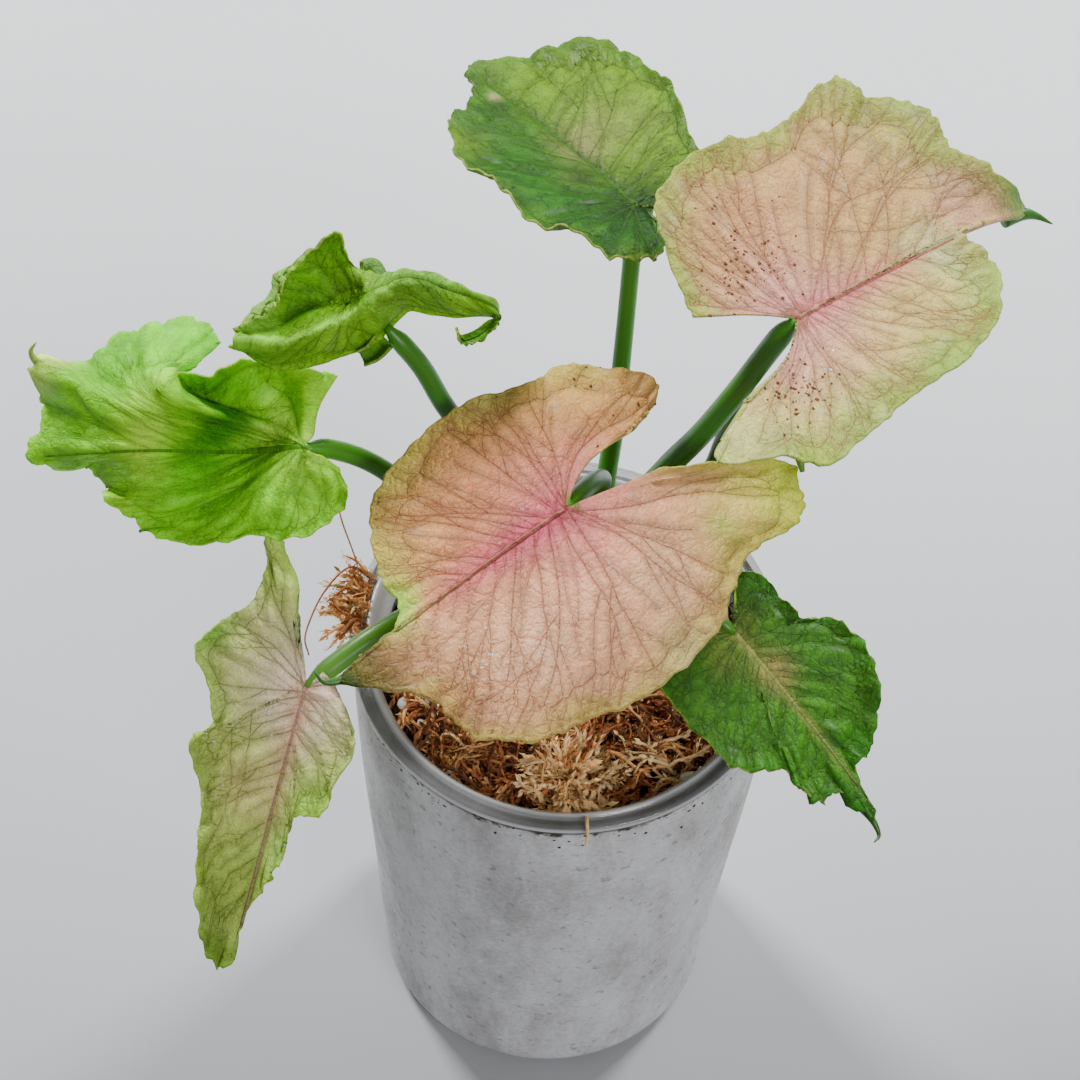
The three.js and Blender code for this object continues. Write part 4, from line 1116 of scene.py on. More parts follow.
def stalk_material(name, roughness):
    """A waxy stalk with fine lengthwise streaks. flat is (distance along, distance round) in mm."""
    material, shader = new_material(name, roughness)
    wash, flat = painted(material)
    stretched = add_node(
        material, "ShaderNodeMapping", [("Vector", flat), ("Scale", (0.12, 2.6, 1))]).outputs["Vector"]
    streak = noise(material, stretched, 1.0, 3, 0.6)
    colour = mixed(material, ranged(material, streak, 0.35, 0.7, 0.0, 0.32), wash, vivid(120, 164, 66))
    grain = noise(material, flat, 3.0, 2, 0.6)
    colour = mixed(material, ranged(material, grain, 0.3, 0.75, 0.0, 0.3), colour, wash, "MULTIPLY")
    link(material, colour, shader.inputs["Base Color"])
    link(material, bump(material, streak, 0.2, 0.0002), shader.inputs["Normal"])
    shader.inputs["Coat Weight"].default_value = 0.14
    shader.inputs["Coat Roughness"].default_value = 0.2
    return material


petiole_material = stalk_material("petiole waxy green", 0.4)
print("materials so far", len(bpy.data.materials))

# %% [markdown]
# The blade is one grid, thickened downwards by a Solidify modifier, which gives the underside and the
# cut edge materials of their own. Each vein is a thin flattened tube that shows a little above the
# blade and more below it. The midrib is a keel under the leaf. Between the veins the blade is lifted,
# more the further a vertex is from the nearest vein, so that veins lie in shallow grooves.

# %% Building the veins
FINE_THICKNESS = 0.5
SWELLING_WIDTH = 2.4
VEIN_ABOVE = 0.05
VEIN_EDGE_BELOW = 0.04
VEIN_KEEL = 0.12
MIDRIB_ABOVE = 0.15
MIDRIB_KEEL = 0.9
FAR_FROM_RIM = 20.0
# Corners of a vein's section: its share of the width, and 1 for the top, 0 for the edge, -1 for the keel.
VEIN_SECTION = np.array([(-0.5, 0), (-0.3, 1), (0.3, 1), (0.5, 0), (0.36, -1), (-0.36, -1)])


def nearest(places):
    """A finder of the nearest of these places."""
    finder = kdtree.KDTree(len(places))
    for number, place in enumerate(places):
        finder.insert(place, number)
    finder.balance()
    return finder


def lift_between(finder, places, height, width):
    """How far in metres the blade is lifted at places, given the nearest vein and a height in mm."""
    gaps = np.array([finder.find(place)[2] for place in places]) / MM
    return height * MM * (1 - np.exp(-(gaps / width) ** 2))


def with_middles(points):
    """The points of a line with one more in the middle of each step."""
    middles = (points[:-1] + points[1:]) / 2
    return np.concatenate([points, middles])


def vein_heights(count, keel, above):
    """Heights in mm of the section's corners at each point: a top, an edge and a keel that fades out."""
    keels = FINE_THICKNESS + keel * np.linspace(1, 0.3, count)[:, None]
    level = VEIN_SECTION[:, 1]
    return np.where(level > 0, above, np.where(level == 0, -VEIN_EDGE_BELOW, -keels))


def add_vein(bm, leaf, wash, number, vein, lift):
    """Adds one vein, a closed flattened tube, and returns its centre line. Number 0 is the midrib, and
    lift moves a vein with the blade."""
    places, start, end = vein
    s, t = places[:, 0], places[:, 1]
    centres, normals = blade_surface(leaf, s, t)
    if lift is not None:
        centres = centres + normals * lift(centres)[:, None]
    tangents = unit(np.gradient(centres, axis=0))
    sides = unit(np.cross(normals, tangents))
    widths = np.linspace(start, end, len(s))
    own = blade_points(leaf, s, t)
    base = paint(leaf, wash, own, own * (1, 1, 0), np.full(len(s), FAR_FROM_RIM))
    if number == 0:
        heights = vein_heights(len(s), MIDRIB_KEEL, MIDRIB_ABOVE)
        base = blend_in(base, wash["keel"], np.full(len(s), 0.85))
        share = np.linspace(0, 0.8, len(s)) * wash["vein_share"]
    else:
        heights = vein_heights(len(s), VEIN_KEEL, VEIN_ABOVE)
        share = np.full(len(s), wash["vein_share"] * (0.8 if start < FORK_WIDTHS[0] else 1))
    colours = blend_in(base, wash["vein"], share)
    colours = np.hstack([colours, np.ones((len(s), 1))])
    flat = np.stack([np.arange(len(s)) * VEIN_STEP, 0 * s, 0 * s], axis=1)
    add_tube(
        bm, centres, sides, np.cross(tangents, sides), np.outer(widths * MM, VEIN_SECTION[:, 0]),
        heights * MM, [("wash", colours), ("flat", flat)])
    return centres


def build_veins(name, leaf, wash):
    """The veins of a leaf as one piece. Returns finders of the main veins and of all veins."""
    bm = bmesh.new()
    main_lines, all_lines = [], []
    for number, vein in enumerate(VEINS[name]):
        if vein[1] > FORK_WIDTHS[0]:
            line = with_middles(add_vein(bm, leaf, wash, number, vein, None))
            main_lines.append(line)
            all_lines.append(line)
    main_finder = nearest(np.concatenate(main_lines))

    def lift(places):
        return lift_between(main_finder, places, leaf["swelling"], SWELLING_WIDTH)

    for number, vein in enumerate(VEINS[name]):
        if vein[1] <= FORK_WIDTHS[0]:
            all_lines.append(with_middles(add_vein(bm, leaf, wash, number, vein, lift)))
    make_piece(name + "_veins", bm, [vein_material], [name])
    return lift, nearest(np.concatenate(all_lines))

# %% Building the blades
BLADE_STEP = 0.95
QUILTING = 0.16
QUILTING_WIDTH = 0.9
CREASE_SHADE = 0.3


def thicken(piece, offset):
    """Gives a sheet its thickness: all of it below the sheet at offset -1, half on each side at 0."""
    skin = piece.modifiers.new("thickness", "SOLIDIFY")
    skin.thickness = FINE_THICKNESS * MM
    skin.offset = offset
    skin.material_offset = 1
    skin.material_offset_rim = 2


def leaf_edge_distance(own):
    """The distance in mm from each point of a grid to the margin at its last row."""
    walked = lengths_along(own, 1)
    return walked[:, -1:] - walked


def build_blade(name, leaf, wash, lift, vein_finder):
    """The fine blade of a leaf."""
    outer = blade_points(leaf, leaf["s"], np.ones(TABLE_COLUMNS))
    margin = np.linalg.norm(np.diff(outer, axis=0), axis=1).sum()
    longest = leaf["reach"][:, -1].max() if "reach" in leaf else np.ptp(leaf["across"], axis=1).max()
    columns, rows = int(margin / BLADE_STEP), int(longest / BLADE_STEP)
    s, t = np.linspace(0, 1, columns + 1), np.linspace(0, 1, rows + 1)
    s_grid, t_grid = np.meshgrid(s, t, indexing="ij")
    places, normals = blade_surface(leaf, s_grid.ravel(), t_grid.ravel())
    quilt = lift_between(vein_finder, places + normals * lift(places)[:, None], QUILTING, QUILTING_WIDTH)
    places = places + normals * (lift(places) + quilt)[:, None]
    shape = (columns + 1, rows + 1, 3)
    flat = flat_places(leaf, s, t)
    own = blade_points(leaf, s_grid.ravel(), t_grid.ravel()).reshape(shape)
    rim_distance = leaf_edge_distance(own)
    if "run" in leaf:
        # This leaf's grid has a margin at its first row too.
        rim_distance = np.minimum(rim_distance, leaf_edge_distance(own[:, ::-1])[:, ::-1])
    colours = paint(leaf, wash, own, flat, rim_distance)
    # Painted shade: the blade is painted darker in the creases where the veins lie.
    painted_crease_shade = 1 - quilt.reshape(shape[:2]) / (QUILTING * MM)
    colours = colours * (1 - CREASE_SHADE * painted_crease_shade)[..., None]
    colours = np.concatenate([colours, np.ones((*colours.shape[:2], 1))], axis=2)
    bm = bmesh.new()
    add_grid(bm, places.reshape(shape), [("wash", colours), ("flat", flat)])
    bmesh.ops.remove_doubles(bm, verts=bm.verts, dist=1e-7)
    thicken(make_piece(name + "_blade", bm, BLADE_MATERIALS, [name]), -1)


for name, leaf in LEAVES.items():
    leaf["lift"], vein_finder = build_veins(name, leaf, WASHES[name])
    build_blade(name, leaf, WASHES[name], leaf["lift"], vein_finder)

# %% [markdown]
# The petioles are the plant's real stalks: round, waxy, firm green, and a little thinner towards the
# blade. Each rises close along the stem and follows the same smooth route as in the CAD source, with
# points at even distances. The young leaf is such a stalk that ends in a blade still rolled up like an
# umbrella, so its radius swells and comes to a point.

# %% Petioles
STEM_AXIS = (3, 17)
STEM_RADIUS = 6
CLEARANCE = 0.3
PETIOLE_BASE = 123.5
PETIOLE_CLASP = 4
PETIOLE_TIP_SHARE = 0.9
PETIOLE_STEP = 1.4
PETIOLE_CORNERS = 18


def stalk_path(angle, radius, route):
    """Points in metres at even distances along a stalk that rises close along the stem first."""
    reach = STEM_RADIUS + radius + CLEARANCE
    turn = math.radians(angle)
    x, y = STEM_AXIS[0] + reach * math.cos(turn), STEM_AXIS[1] + reach * math.sin(turn)
    route = [(x, y, PETIOLE_BASE), (x, y, PETIOLE_BASE + PETIOLE_CLASP), *route]
    dense = catmull(route, np.linspace(0, 1, 40 * len(route)))
    walked = np.concatenate([[0], np.cumsum(np.linalg.norm(np.diff(dense, axis=0), axis=1))])
    stops = np.linspace(0, walked[-1], int(walked[-1] / PETIOLE_STEP))
    return np.stack([np.interp(stops, walked, dense[:, axis]) for axis in range(3)], axis=1) * MM, stops


def stalk_layers(stops, radii, dark, pale, pale_from):
    """The wash and flat layers of a stalk: dark below, turning pale towards its end."""
    angles = np.linspace(0, 2 * np.pi, PETIOLE_CORNERS + 1)
    share = np.clip((stops / stops[-1] - pale_from) / (1 - pale_from), 0, 1) ** 1.5
    colours = blend_in(np.broadcast_to(dark, (len(stops), 3)).copy(), pale, share)
    colours = np.repeat(np.hstack([colours, np.ones((len(stops), 1))])[:, None], len(angles), axis=1)
    round_it = np.outer(radii, angles) / MM
    flat = np.stack([np.repeat(stops[:, None], len(angles), axis=1), round_it, 0 * round_it], axis=-1)
    return [("wash", colours), ("flat", flat)]


def make_stalk(name, node, path, radii, layers):
    bm = bmesh.new()
    add_round_tube(bm, path, radii, PETIOLE_CORNERS, layers)
    make_piece(name, bm, [petiole_material], [node])


# The colours of each petiole's foot and of its end at the blade.
PETIOLE_WASHES = {
    "leaf_top": (vivid(84, 142, 26), vivid(116, 160, 60)),
    "leaf_right": (vivid(56, 112, 10), vivid(86, 144, 34)),
    "leaf_centre": (vivid(64, 120, 16), vivid(96, 150, 52)),
    "leaf_lower_left": (vivid(104, 152, 54), vivid(136, 178, 88)),
    "leaf_lower_right": (vivid(58, 108, 18), vivid(90, 138, 44)),
    "leaf_left": (vivid(56, 114, 10), vivid(110, 166, 44)),
    "leaf_upper_left": (vivid(56, 112, 16), vivid(82, 136, 36)),
}
SUNK_END = 5
for name, leaf in LEAVES.items():
    end = np.array(leaf.get("petiole_end", (0, 0, 0))) - (0, 0, 0.4)
    end = np.array(leaf["junction"]) + end @ leaf_axes(leaf)
    radius = leaf["petiole"]["width"] / 2
    path, stops = stalk_path(leaf["petiole"]["angle"], radius, [*leaf["route"], tuple(end)])
    taper = [(1,), (1,), (PETIOLE_TIP_SHARE,), (PETIOLE_TIP_SHARE,)]
    radii = catmull(taper, np.linspace(0, 1, len(path)))[:, 0]
    # The last few millimetres thin out, so that the stalk melts into the blade.
    radii = radii * radius * MM * np.clip((stops[-1] - stops) / SUNK_END, 0.16, 1) ** 0.5
    make_stalk(name + "_petiole", name, path, radii, stalk_layers(stops, radii, *PETIOLE_WASHES[name], 0.6))

# %% Young leaf and stem
YOUNG_ROUTE = [
    (18, 19, 146), (26, 23, 160), (30, 26, 170), (34, 27, 180), (39, 22, 186), (42, 16, 185), (44, 11, 181),
]
YOUNG_RADII = (2, 1.5, 1.4, 1.3, 1.6, 2.8, 3, 2.2, 0.5)

young_path, young_stops = stalk_path(-10, YOUNG_RADII[0], YOUNG_ROUTE)
young_radii = catmull([(radius,) for radius in YOUNG_RADII], np.linspace(0, 1, len(young_path)))[:, 0] * MM
young_layers = stalk_layers(young_stops, young_radii, vivid(44, 92, 10), vivid(120, 150, 62), 0.45)
make_stalk("young_leaf_fine", "young_leaf", young_path, young_radii, young_layers)

stem_heights = np.linspace(96, 136.5, 28)
stem_radii = np.interp(stem_heights, (96, 98, 131, 135.5, 136.5), (5, 5.9, 5.9, 3.6, 1.5))
stem_radii = stem_radii - 0.25 * (1 + np.sin(stem_heights * 1.3))
stem_path = np.array([(*STEM_AXIS, height) for height in stem_heights]) * MM
stem_layers = stalk_layers(stem_heights - 95, stem_radii * MM, vivid(92, 112, 44), vivid(84, 124, 40), 0.3)
make_stalk("stem_fine", "stem", stem_path, stem_radii * MM, stem_layers)

# %% [markdown]
# The moss bed. Dried sphagnum lies in the cup as a loose tangle of short fuzzy strands over a dark,
# rotted mass. The mass is one grid rolled round the Z axis, top, side and foot, with the same clumps and
# dips as in the CAD source. It replaces the moss solid.

# %% Moss bed
MOSS_LEVEL = 118
CLUMPS = [
    (3, -31, 9, 7), (-16, -26, 10, 3), (22, -25, 9, 4), (-30, -10, 8, 3), (32, -8, 8, 2), (-12, -8, 8, 2.5),
    (12, -12, 7, 3), (-24, 20, 9, 2), (26, 18, 8, 2), (4, 36, 9, -4),
]


def moss_height(x, y):
    """The height of the moss in mm: the same clumps as in the CAD source."""
    height = MOSS_LEVEL + 0.8 * np.sin(0.31 * x + 0.9) * np.cos(0.27 * y) + 0.5 * np.sin(0.55 * x - 0.43 * y)
    for clump_x, clump_y, wide, high in CLUMPS:
        height = height + high * np.exp(-((x - clump_x) ** 2 + (y - clump_y) ** 2) / wide**2)
    return height


moss_material, moss_shader = new_material("moss", 0.92)
moss_wash = add_node(moss_material, "ShaderNodeAttribute", attribute_name="wash").outputs["Color"]
moss_grain = noise(moss_material, object_place(moss_material), 900, 3, 0.7)
moss_tone = grey_colour(moss_material, ranged(moss_material, moss_grain, 0.3, 0.7, 0.7, 1.4))
moss_colours = mixed(moss_material, 1.0, moss_wash, moss_tone, "MULTIPLY")
link(moss_material, moss_colours, moss_shader.inputs["Base Color"])
link(moss_material, bump(moss_material, moss_grain, 0.5, 0.0005), moss_shader.inputs["Normal"])

MOSS_TOP_RADIUS = 39
MOSS_FOOT_RADIUS = 30.6
turns = np.linspace(0, 2 * np.pi, 145)
top_rings = np.linspace(0, MOSS_TOP_RADIUS, 34)
bed_rows = []
for ring in top_rings:
    x, y = ring * np.cos(turns), ring * np.sin(turns)
    lumps = 0.9 * np.sin(1.1 * x + 0.7 * np.sin(0.9 * y)) * np.sin(0.95 * y + 1.3)
    bed_rows.append(np.stack([x, y, moss_height(x, y) - 1.2 + lumps], axis=1))
for radius, height in ((38.4, 100), (34.6, 40), (MOSS_FOOT_RADIUS, 10.3), (16, 10.2), (0, 10.2)):
    bed_rows.append(np.stack([radius * np.cos(turns), radius * np.sin(turns), 0 * turns + height], axis=1))
bed_places = np.stack(bed_rows, axis=1) * MM
bed_bm = bmesh.new()
bed_dark = np.broadcast_to((*linear(44, 26, 12), 1), (*bed_places.shape[:2], 4))
add_grid(bed_bm, bed_places, [("wash", bed_dark)])
bmesh.ops.remove_doubles(bed_bm, verts=bed_bm.verts, dist=1e-6)
bmesh.ops.recalc_face_normals(bed_bm, faces=bed_bm.faces)
make_piece("moss_bed_mass", bed_bm, [moss_material], ["moss_bed"])

# %% [markdown]
# A strand of sphagnum is a thin soft stem with small scale leaves that stick out all round, which makes
# it look like a frayed rope. A strand is repeated more than a thousand times, so it has only a few
# dozen faces: a three-sided core with pairs of pointed scales. Each copy is bent, turned and tinted by
# its own throw of the dice, with a fixed seed, and lies on the moss.

# %% One strand of moss
STRAND_STOPS = 8
SCALES_PER_STOP = 3
INSIDE_CUP = 38.8
STRAND_TAPER = np.array([0.6, 1, 1, 1, 0.95, 0.85, 0.6, 0.15])


def strand_places(dice, length, thickness):
    """The curve of a strand that starts at the origin and runs along +X, in mm."""
    share = np.linspace(0, 1, STRAND_STOPS)
    bend = dice.uniform(-0.4, 0.4) * share**2 + dice.uniform(0.03, 0.12) * np.sin(dice.uniform(4, 9) * share)
    lift = dice.uniform(0.02, 0.2) * np.sin(np.pi * share) + 0.05 * np.sin(dice.uniform(4, 10) * share)
    return np.stack([share * length, bend * length, lift * length + 0.3 * thickness], axis=1)


def add_strand(bm, dice, start, turn, tilt, length, thickness, colour, room=INSIDE_CUP):
    """Adds one strand at start, in mm, that lies towards turn and rises by tilt, in radians.
    One that would leave the room, a radius round the pot's axis, is left out."""
    path = strand_places(dice, length, thickness)
    pose = Matrix.Rotation(turn, 3, "Z") @ Matrix.Rotation(-tilt, 3, "Y")
    path = path @ np.array(pose).T + start
    if np.hypot(path[:, 0], path[:, 1]).max() > room:
        return
    radii = thickness * 0.3 * STRAND_TAPER
    tone = dice.uniform(0.75, 1.25)
    core = np.broadcast_to((*(colour * tone), 1), (STRAND_STOPS, 4))
    add_round_tube(bm, path * MM, radii * MM, 3, [("wash", core)])
    sides, ups = frames_along(path)
    wash = vertex_layer(bm, "wash")
    for stop in range(STRAND_STOPS - 1):
        forward = unit(path[stop + 1] - path[stop])
        for _ in range(SCALES_PER_STOP):
            angle = dice.uniform(0, 2 * math.pi)
            out = math.cos(angle) * sides[stop] + math.sin(angle) * ups[stop]
            width = np.cross(out, forward) * thickness * 0.24
            root = path[stop] + out * radii[stop] * 0.4 + forward * dice.uniform(0, 0.15) * length
            tip = root + out * thickness * dice.uniform(0.4, 1.0)
            tip = tip + forward * thickness * dice.uniform(0.4, 1.4)
            middle = (root + tip) / 2 + out * 0.1 * thickness
            tint = (*(colour * tone * dice.uniform(0.75, 1.35)), 1)
            corners = [bm.verts.new(place * MM) for place in (root, middle - width, tip, middle + width)]
            for corner in corners:
                corner[wash] = tint
            bm.faces.new(corners)


# %% The tangle of moss
STRAW = linear(242, 206, 150)
TAN = linear(222, 168, 108)
RUST = linear(172, 106, 60)
DARK_BROWN = linear(110, 66, 32)
STRAND_COUNT = 1350
STRAND_ROOTS_RADIUS = 38.0
STRAND_TIPS_RADIUS = 38.4
# Where the strands are mostly pale: x, y, how wide.
PALE_PATCHES = [(3, -30, 6), (-26, -14, 4), (24, -27, 5)]


def moss_colour(dice, x, y):
    """A strand's colour: pale in the clumps, otherwise brown and rust."""
    pale = max(math.exp(-((x - px) ** 2 + (y - py) ** 2) / wide**2) for px, py, wide in PALE_PATCHES)
    if dice.random() < 0.8 * pale:
        return STRAW
    return dice.choice((TAN, RUST, RUST, RUST, DARK_BROWN, DARK_BROWN, TAN))


moss_dice = random.Random(7)
strand_bm = bmesh.new()
vertex_layer(strand_bm, "wash")
for _ in range(STRAND_COUNT):
    radius = STRAND_ROOTS_RADIUS * math.sqrt(moss_dice.random())
    angle = moss_dice.uniform(0, 2 * math.pi)
    x, y = radius * math.cos(angle), radius * math.sin(angle)
    length = moss_dice.uniform(5, 13)
    turn = moss_dice.uniform(0, 2 * math.pi)
    if math.hypot(x + length * math.cos(turn), y + length * math.sin(turn)) > STRAND_TIPS_RADIUS:
        turn = math.atan2(-y, -x) + moss_dice.uniform(-1.2, 1.2)
    start = np.array([x, y, float(moss_height(x, y)) - 1.8 + moss_dice.uniform(0, 2.2)])
    add_strand(
        strand_bm, moss_dice, start, turn, moss_dice.uniform(-0.15, 0.4), length, moss_dice.uniform(1.0, 1.9),
        moss_colour(moss_dice, x, y))
make_piece("moss_strands", strand_bm, [moss_material])

# %% [markdown]
# In the middle a lighter clump of fresh moss stands up, with one long strand that hangs over the lip.
# On the left a tuft of old moss spills out of the cup, with two thin reddish threads. They are the same
# strands as above, thicker or thinner and steeper.

# %% Clump, tuft and threads
CLUMP_STRANDS = 75
TUFT_STRANDS = 42
TUFT_ROOM = 60
THREADS = [
    # a path in mm, its radius, its colour
    (
        [(6, -34, 121), (6.2, -39.5, 127), (6.3, -43, 130.6), (6.6, -45.9, 130.2), (6.4, -46.6, 127)],
        0.5, STRAW,
    ),
    ([(-50, 27, 137), (-48.5, 21, 137), (-45, 14, 133), (-43.5, 9, 130.3), (-41, 6, 126)], 0.22, RUST),
    ([(-41, 12, 128), (-46, 13, 131.5), (-51, 6, 132), (-54, -3, 130), (-53, -7, 128)], 0.26, RUST),
]

clump_dice = random.Random(11)
clump_bm = bmesh.new()
vertex_layer(clump_bm, "wash")
for _ in range(CLUMP_STRANDS):
    x, y = clump_dice.gauss(2.5, 4.0), clump_dice.gauss(-31, 4.0)
    start = np.array([x, y, float(moss_height(x, y)) - 1.5])
    add_strand(
        clump_bm, clump_dice, start, clump_dice.uniform(0, 2 * math.pi), clump_dice.uniform(0, 0.9),
        clump_dice.uniform(4, 9), clump_dice.uniform(1.6, 2.8), STRAW)
make_piece("moss_clump", clump_bm, [moss_material])

tuft_bm = bmesh.new()
vertex_layer(tuft_bm, "wash")
for _ in range(TUFT_STRANDS):
    y = clump_dice.gauss(5, 4)
    start = np.array([-math.sqrt(42.5**2 - y**2), y, 128.2])
    add_strand(
        tuft_bm, clump_dice, start, clump_dice.uniform(2.5, 3.9), clump_dice.uniform(-0.1, 0.7),
        clump_dice.uniform(4, 10), clump_dice.uniform(1.0, 2.0),
        clump_dice.choice((STRAW, TAN, TAN, RUST)), TUFT_ROOM)
for path, radius, colour in THREADS:
    smooth_path = catmull(path, np.linspace(0, 1, 40))
    tint = np.broadcast_to((*colour, 1), (40, 4))
    add_round_tube(tuft_bm, smooth_path * MM, np.linspace(radius, 0.6 * radius, 40) * MM, 6, [("wash", tint)])
make_piece("moss_tuft", tuft_bm, [moss_material])

# %% [markdown]
# Crumbs: white grains of perlite in the moss, potting soil stuck to the pot below the lip, brown flecks
# on the right leaf, and water drops on the centre and the lower left leaf. All are small balls with few
# faces, pushed out of round by the dice and pressed flat where they lie on a leaf.

# %% Crumbs in the moss and on the pot
PERLITE = [
    (-26.5, -12, 1.5), (-29, -17, 1.1), (27, -27, 2.0), (29.5, -25, 1.5), (12.8, -27, 1.0), (24, -30, 1.1),
    (-22, -28, 0.8), (16, -33, 0.9), (33, -19, 1.2), (-33, -13, 1.0),
]


def add_crumb(bm, dice, place, radius, normal, flatness, roundness=0.25, detail=1):
    """Adds an uneven ball at place, in metres, pressed flat along normal."""
    ball = bmesh.ops.create_icosphere(bm, subdivisions=detail, radius=radius * MM)["verts"]
    turn = Vector(normal).to_track_quat("Z", "Y").to_matrix()
    stretch = Vector((dice.uniform(0.7, 1.4), dice.uniform(0.7, 1.4), flatness))
    for vertex in ball:
        uneven = vertex.co * (1 + dice.uniform(-roundness, roundness))
        vertex.co = turn @ (uneven * stretch) + Vector(place)


def crumb_material(name, colour, other, roughness, scale):
    material, shader = new_material(name, roughness)
    tone = noise(material, object_place(material), scale, 3, 0.7)
    link(material, mixed(material, tone, colour, other), shader.inputs["Base Color"])
    link(material, bump(material, tone, 0.5, 0.0003), shader.inputs["Normal"])
    return material, shader


crumb_dice = random.Random(23)
perlite_bm = bmesh.new()
for x, y, radius in PERLITE:
    place = Vector((x, y, float(moss_height(x, y)) + 0.8)) * MM
    add_crumb(perlite_bm, crumb_dice, place, radius, (0, 0, 1), 0.9, 0.2, 2)
perlite_material, _ = crumb_material("perlite", linear(226, 224, 216), linear(176, 170, 160), 0.85, 900)
make_piece("perlite_grains", perlite_bm, [perlite_material])

SOIL_CRUMBS = 170
SOIL_TOP = 126.8
SOIL_SPREAD = 2.6
SOIL_RADIUS = 44.2
soil_bm = bmesh.new()
for _ in range(SOIL_CRUMBS):
    height = SOIL_TOP - abs(crumb_dice.gauss(0, SOIL_SPREAD))
    angle = crumb_dice.uniform(0, 2 * math.pi)
    out = Vector((math.cos(angle), math.sin(angle), 0))
    place = (out * SOIL_RADIUS + Vector((0, 0, height))) * MM
    add_crumb(soil_bm, crumb_dice, place, crumb_dice.uniform(0.12, 0.42), out, 0.7)
soil_material, _ = crumb_material("soil crumbs", linear(40, 30, 22), linear(84, 62, 44), 0.95, 700)
make_piece("pot_soil_crumbs", soil_bm, [soil_material])

# %% Flecks and drops on the leaves
def on_blade(leaf, x, y, height):
    """A place in metres, height mm above the blade at x, y on the flat leaf, and the normal there."""
    s, t = (np.array([value]) for value in locate(leaf, x, y))
    places, normals = blade_surface(leaf, s, t)
    return places[0] + normals[0] * (leaf["lift"](places)[0] + height * MM), normals[0]


# leaf, x and y on the flat leaf, spread in mm, how many
FLECKS = [
    ("leaf_right", -4, 14, 3.4, 46), ("leaf_right", 3, 11, 4.5, 30), ("leaf_right", -9.5, -12.4, 3.0, 52),
    ("leaf_right", -14, -15, 4.0, 22), ("leaf_right", 6, 24, 7.0, 22), ("leaf_centre", -20, -16, 6.0, 8),
]
DROPS = [
    ("leaf_centre", 31.6, 14.6, 2.6, 16), ("leaf_centre", 29.8, 18.7, 2.6, 16),
    ("leaf_centre", 22, 18.1, 2.4, 9), ("leaf_centre", 5, 6, 9.0, 8),
    ("leaf_lower_left", 6, -4, 7.0, 22), ("leaf_lower_left", 22, -5, 9.0, 16), ("leaf_right", 1, -6, 4.0, 5),
]


def strew(groups, flatness, roundness, detail):
    """Small crumbs in groups on the leaves, as one bmesh."""
    bm = bmesh.new()
    for name, x, y, spread, count in groups:
        for _ in range(count):
            place, normal = on_blade(
                LEAVES[name], crumb_dice.gauss(x, spread), crumb_dice.gauss(y, spread), QUILTING)
            radius = crumb_dice.uniform(0.12, 0.36)
            add_crumb(bm, crumb_dice, place, radius, normal, flatness, roundness, detail)
    return bm


fleck_bm = strew(FLECKS, 0.35, 0.25, 1)
fleck_material, _ = crumb_material("leaf flecks", linear(92, 40, 22), linear(128, 72, 40), 0.8, 1200)
make_piece("leaf_flecks", fleck_bm, [fleck_material])

drop_bm = strew(DROPS, 0.4, 0.1, 2)
# The drops are painted nearly white, a painted glint on top of their real gloss.
drop_glint_material, drop_shader = crumb_material(
    "water drops", linear(250, 252, 252), linear(236, 242, 244), 0.03, 400)
drop_shader.inputs["Alpha"].default_value = 0.3
drop_shader.inputs["Specular IOR Level"].default_value = 1.0
drop_shader.inputs["Coat Weight"].default_value = 1.0
make_piece("water_drops", drop_bm, [drop_glint_material])

# %% [markdown]
# Leaf ends. The right leaf's tip is drawn out into a green point, and the upper left leaf has two curled
# scraps of blade, one rolled up behind it and one hanging below. A drip tip is a thin closed tube. A
# scrap is a grid bent round an arc whose radius shrinks towards one end, thickened like the blades.

# %% Tips and curled scraps
TIP_STOPS = 22
DRIP_TIPS = [
    # leaf, share of the margin where its tip is, path from there in mm, start radius, colour
    ("leaf_right", 0.517, [(-4, -2, 0.6), (0, 0, 0), (3.2, 0.9, -1.6), (6.6, 0.4, -3.2)], 2.0, (58, 104, 32)),
    ("leaf_centre", 0.536, [(4, 3, 0), (0, 0, 0), (-3, -1, 0.8), (-5, 0.5, 2.2)], 1.3, (56, 92, 30)),
    ("leaf_left", 0.542, [(4, -1, -1), (0, 0, 0), (-1.5, 1, 2.5), (-0.4, 2, 4.5)], 1.3, (176, 188, 112)),
    (
        "leaf_lower_right", 0.476, [(-3, 3, 1), (0, 0, 0), (1.5, -2.5, -1.5), (0.5, -4.5, -1)], 1.0,
        (48, 88, 16),
    ),
]
tip_bm = bmesh.new()
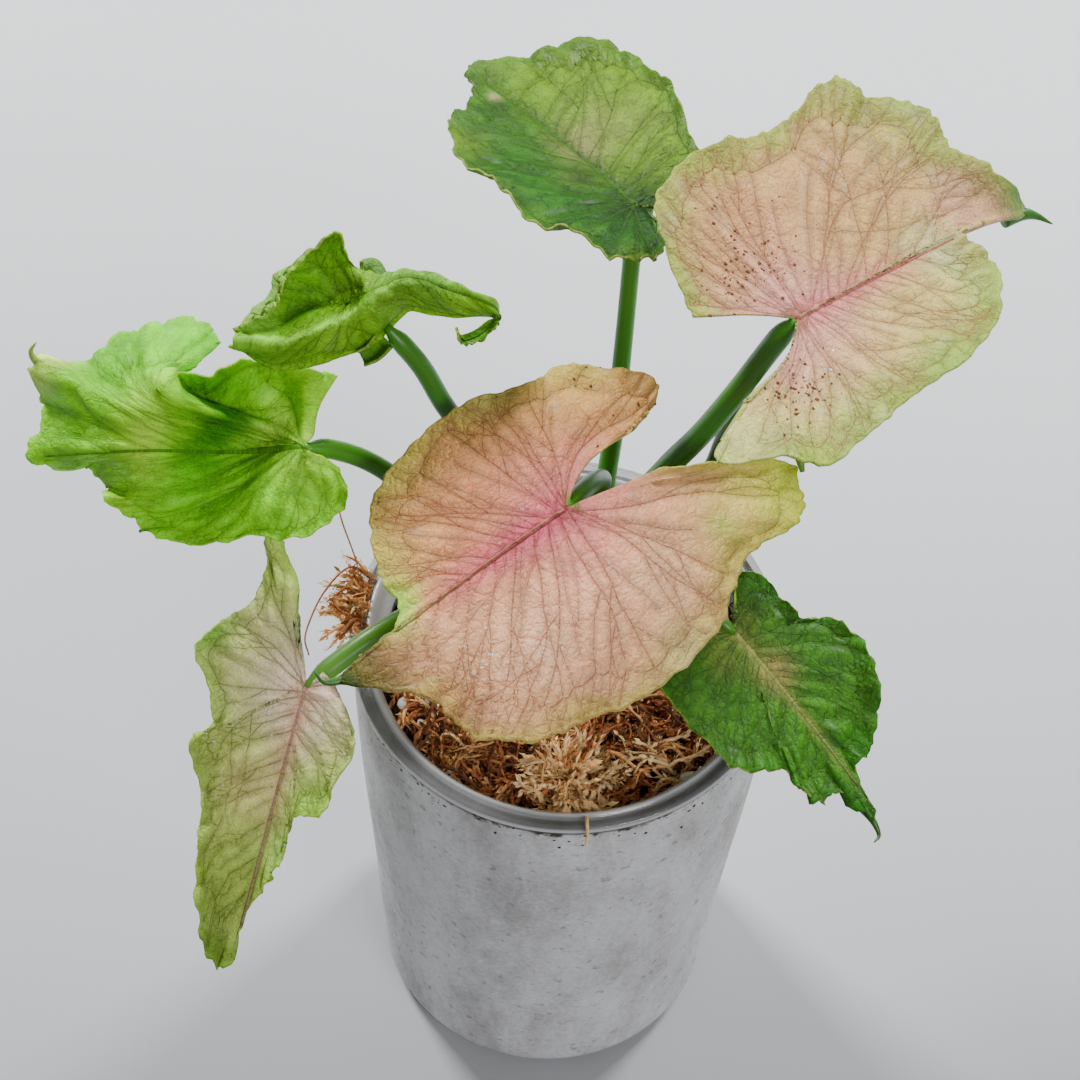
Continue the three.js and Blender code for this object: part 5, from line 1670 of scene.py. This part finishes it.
for name, tip_s, path, radius, colour in DRIP_TIPS:
    tip = blade_surface(LEAVES[name], np.array([tip_s]), np.array([1.0]))[0][0] / MM
    smooth_path = (catmull(path, np.linspace(0, 1, TIP_STOPS)) + tip) * MM
    radii = np.linspace(radius, 0.15, TIP_STOPS) * MM
    paint_tip = vivid(*colour)
    layers = stalk_layers(np.arange(1.0, TIP_STOPS + 1), radii, paint_tip, paint_tip, 0.5)
    add_round_tube(tip_bm, smooth_path, radii, PETIOLE_CORNERS, layers)
make_piece("leaf_drip_tips", tip_bm, [petiole_material])

SCRAPS = [
    # middle line in mm, start radius, end radius, first angle, swept angle, colour
    ([(-41, 38, 197), (-43, 41.5, 198.5), (-45.5, 41, 199)], 2.4, 1.8, 20, 290, vivid(96, 136, 50)),
    ([(-40, 29, 190.5), (-42, 27.5, 188.5), (-44.5, 26.5, 187.5)], 2.6, 2.0, -60, 230, vivid(116, 158, 62)),
]
SCRAP_STOPS = 18
SCRAP_TURNS = 28
SCRAP_STEP = 0.6
scrap_bm = bmesh.new()
for line, start_radius, end_radius, first_angle, swept, colour in SCRAPS:
    axis = catmull(line, np.linspace(0, 1, SCRAP_STOPS))
    sides, ups = frames_along(axis)
    turn_share = np.linspace(0, 1, SCRAP_TURNS)
    angles = np.radians(first_angle + swept * turn_share)
    radii = np.linspace(start_radius, end_radius, SCRAP_STOPS)[:, None] * (1 - 0.4 * turn_share**2)
    places = axis[:, None] + (radii * np.cos(angles))[..., None] * sides[:, None]
    places = (places + (radii * np.sin(angles))[..., None] * ups[:, None]) * MM
    flat = np.zeros(places.shape)
    flat[..., 0] = np.arange(SCRAP_STOPS)[:, None] * SCRAP_STEP
    flat[..., 1] = np.arange(SCRAP_TURNS) * SCRAP_STEP
    tint = np.broadcast_to((*colour, 1), (SCRAP_STOPS, SCRAP_TURNS, 4))
    add_grid(scrap_bm, places, [("wash", tint), ("flat", flat)])
thicken(make_piece("leaf_upper_left_scraps", scrap_bm, BLADE_MATERIALS), 0)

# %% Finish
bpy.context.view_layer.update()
bpy.data.meshes.remove(scratch_mesh)
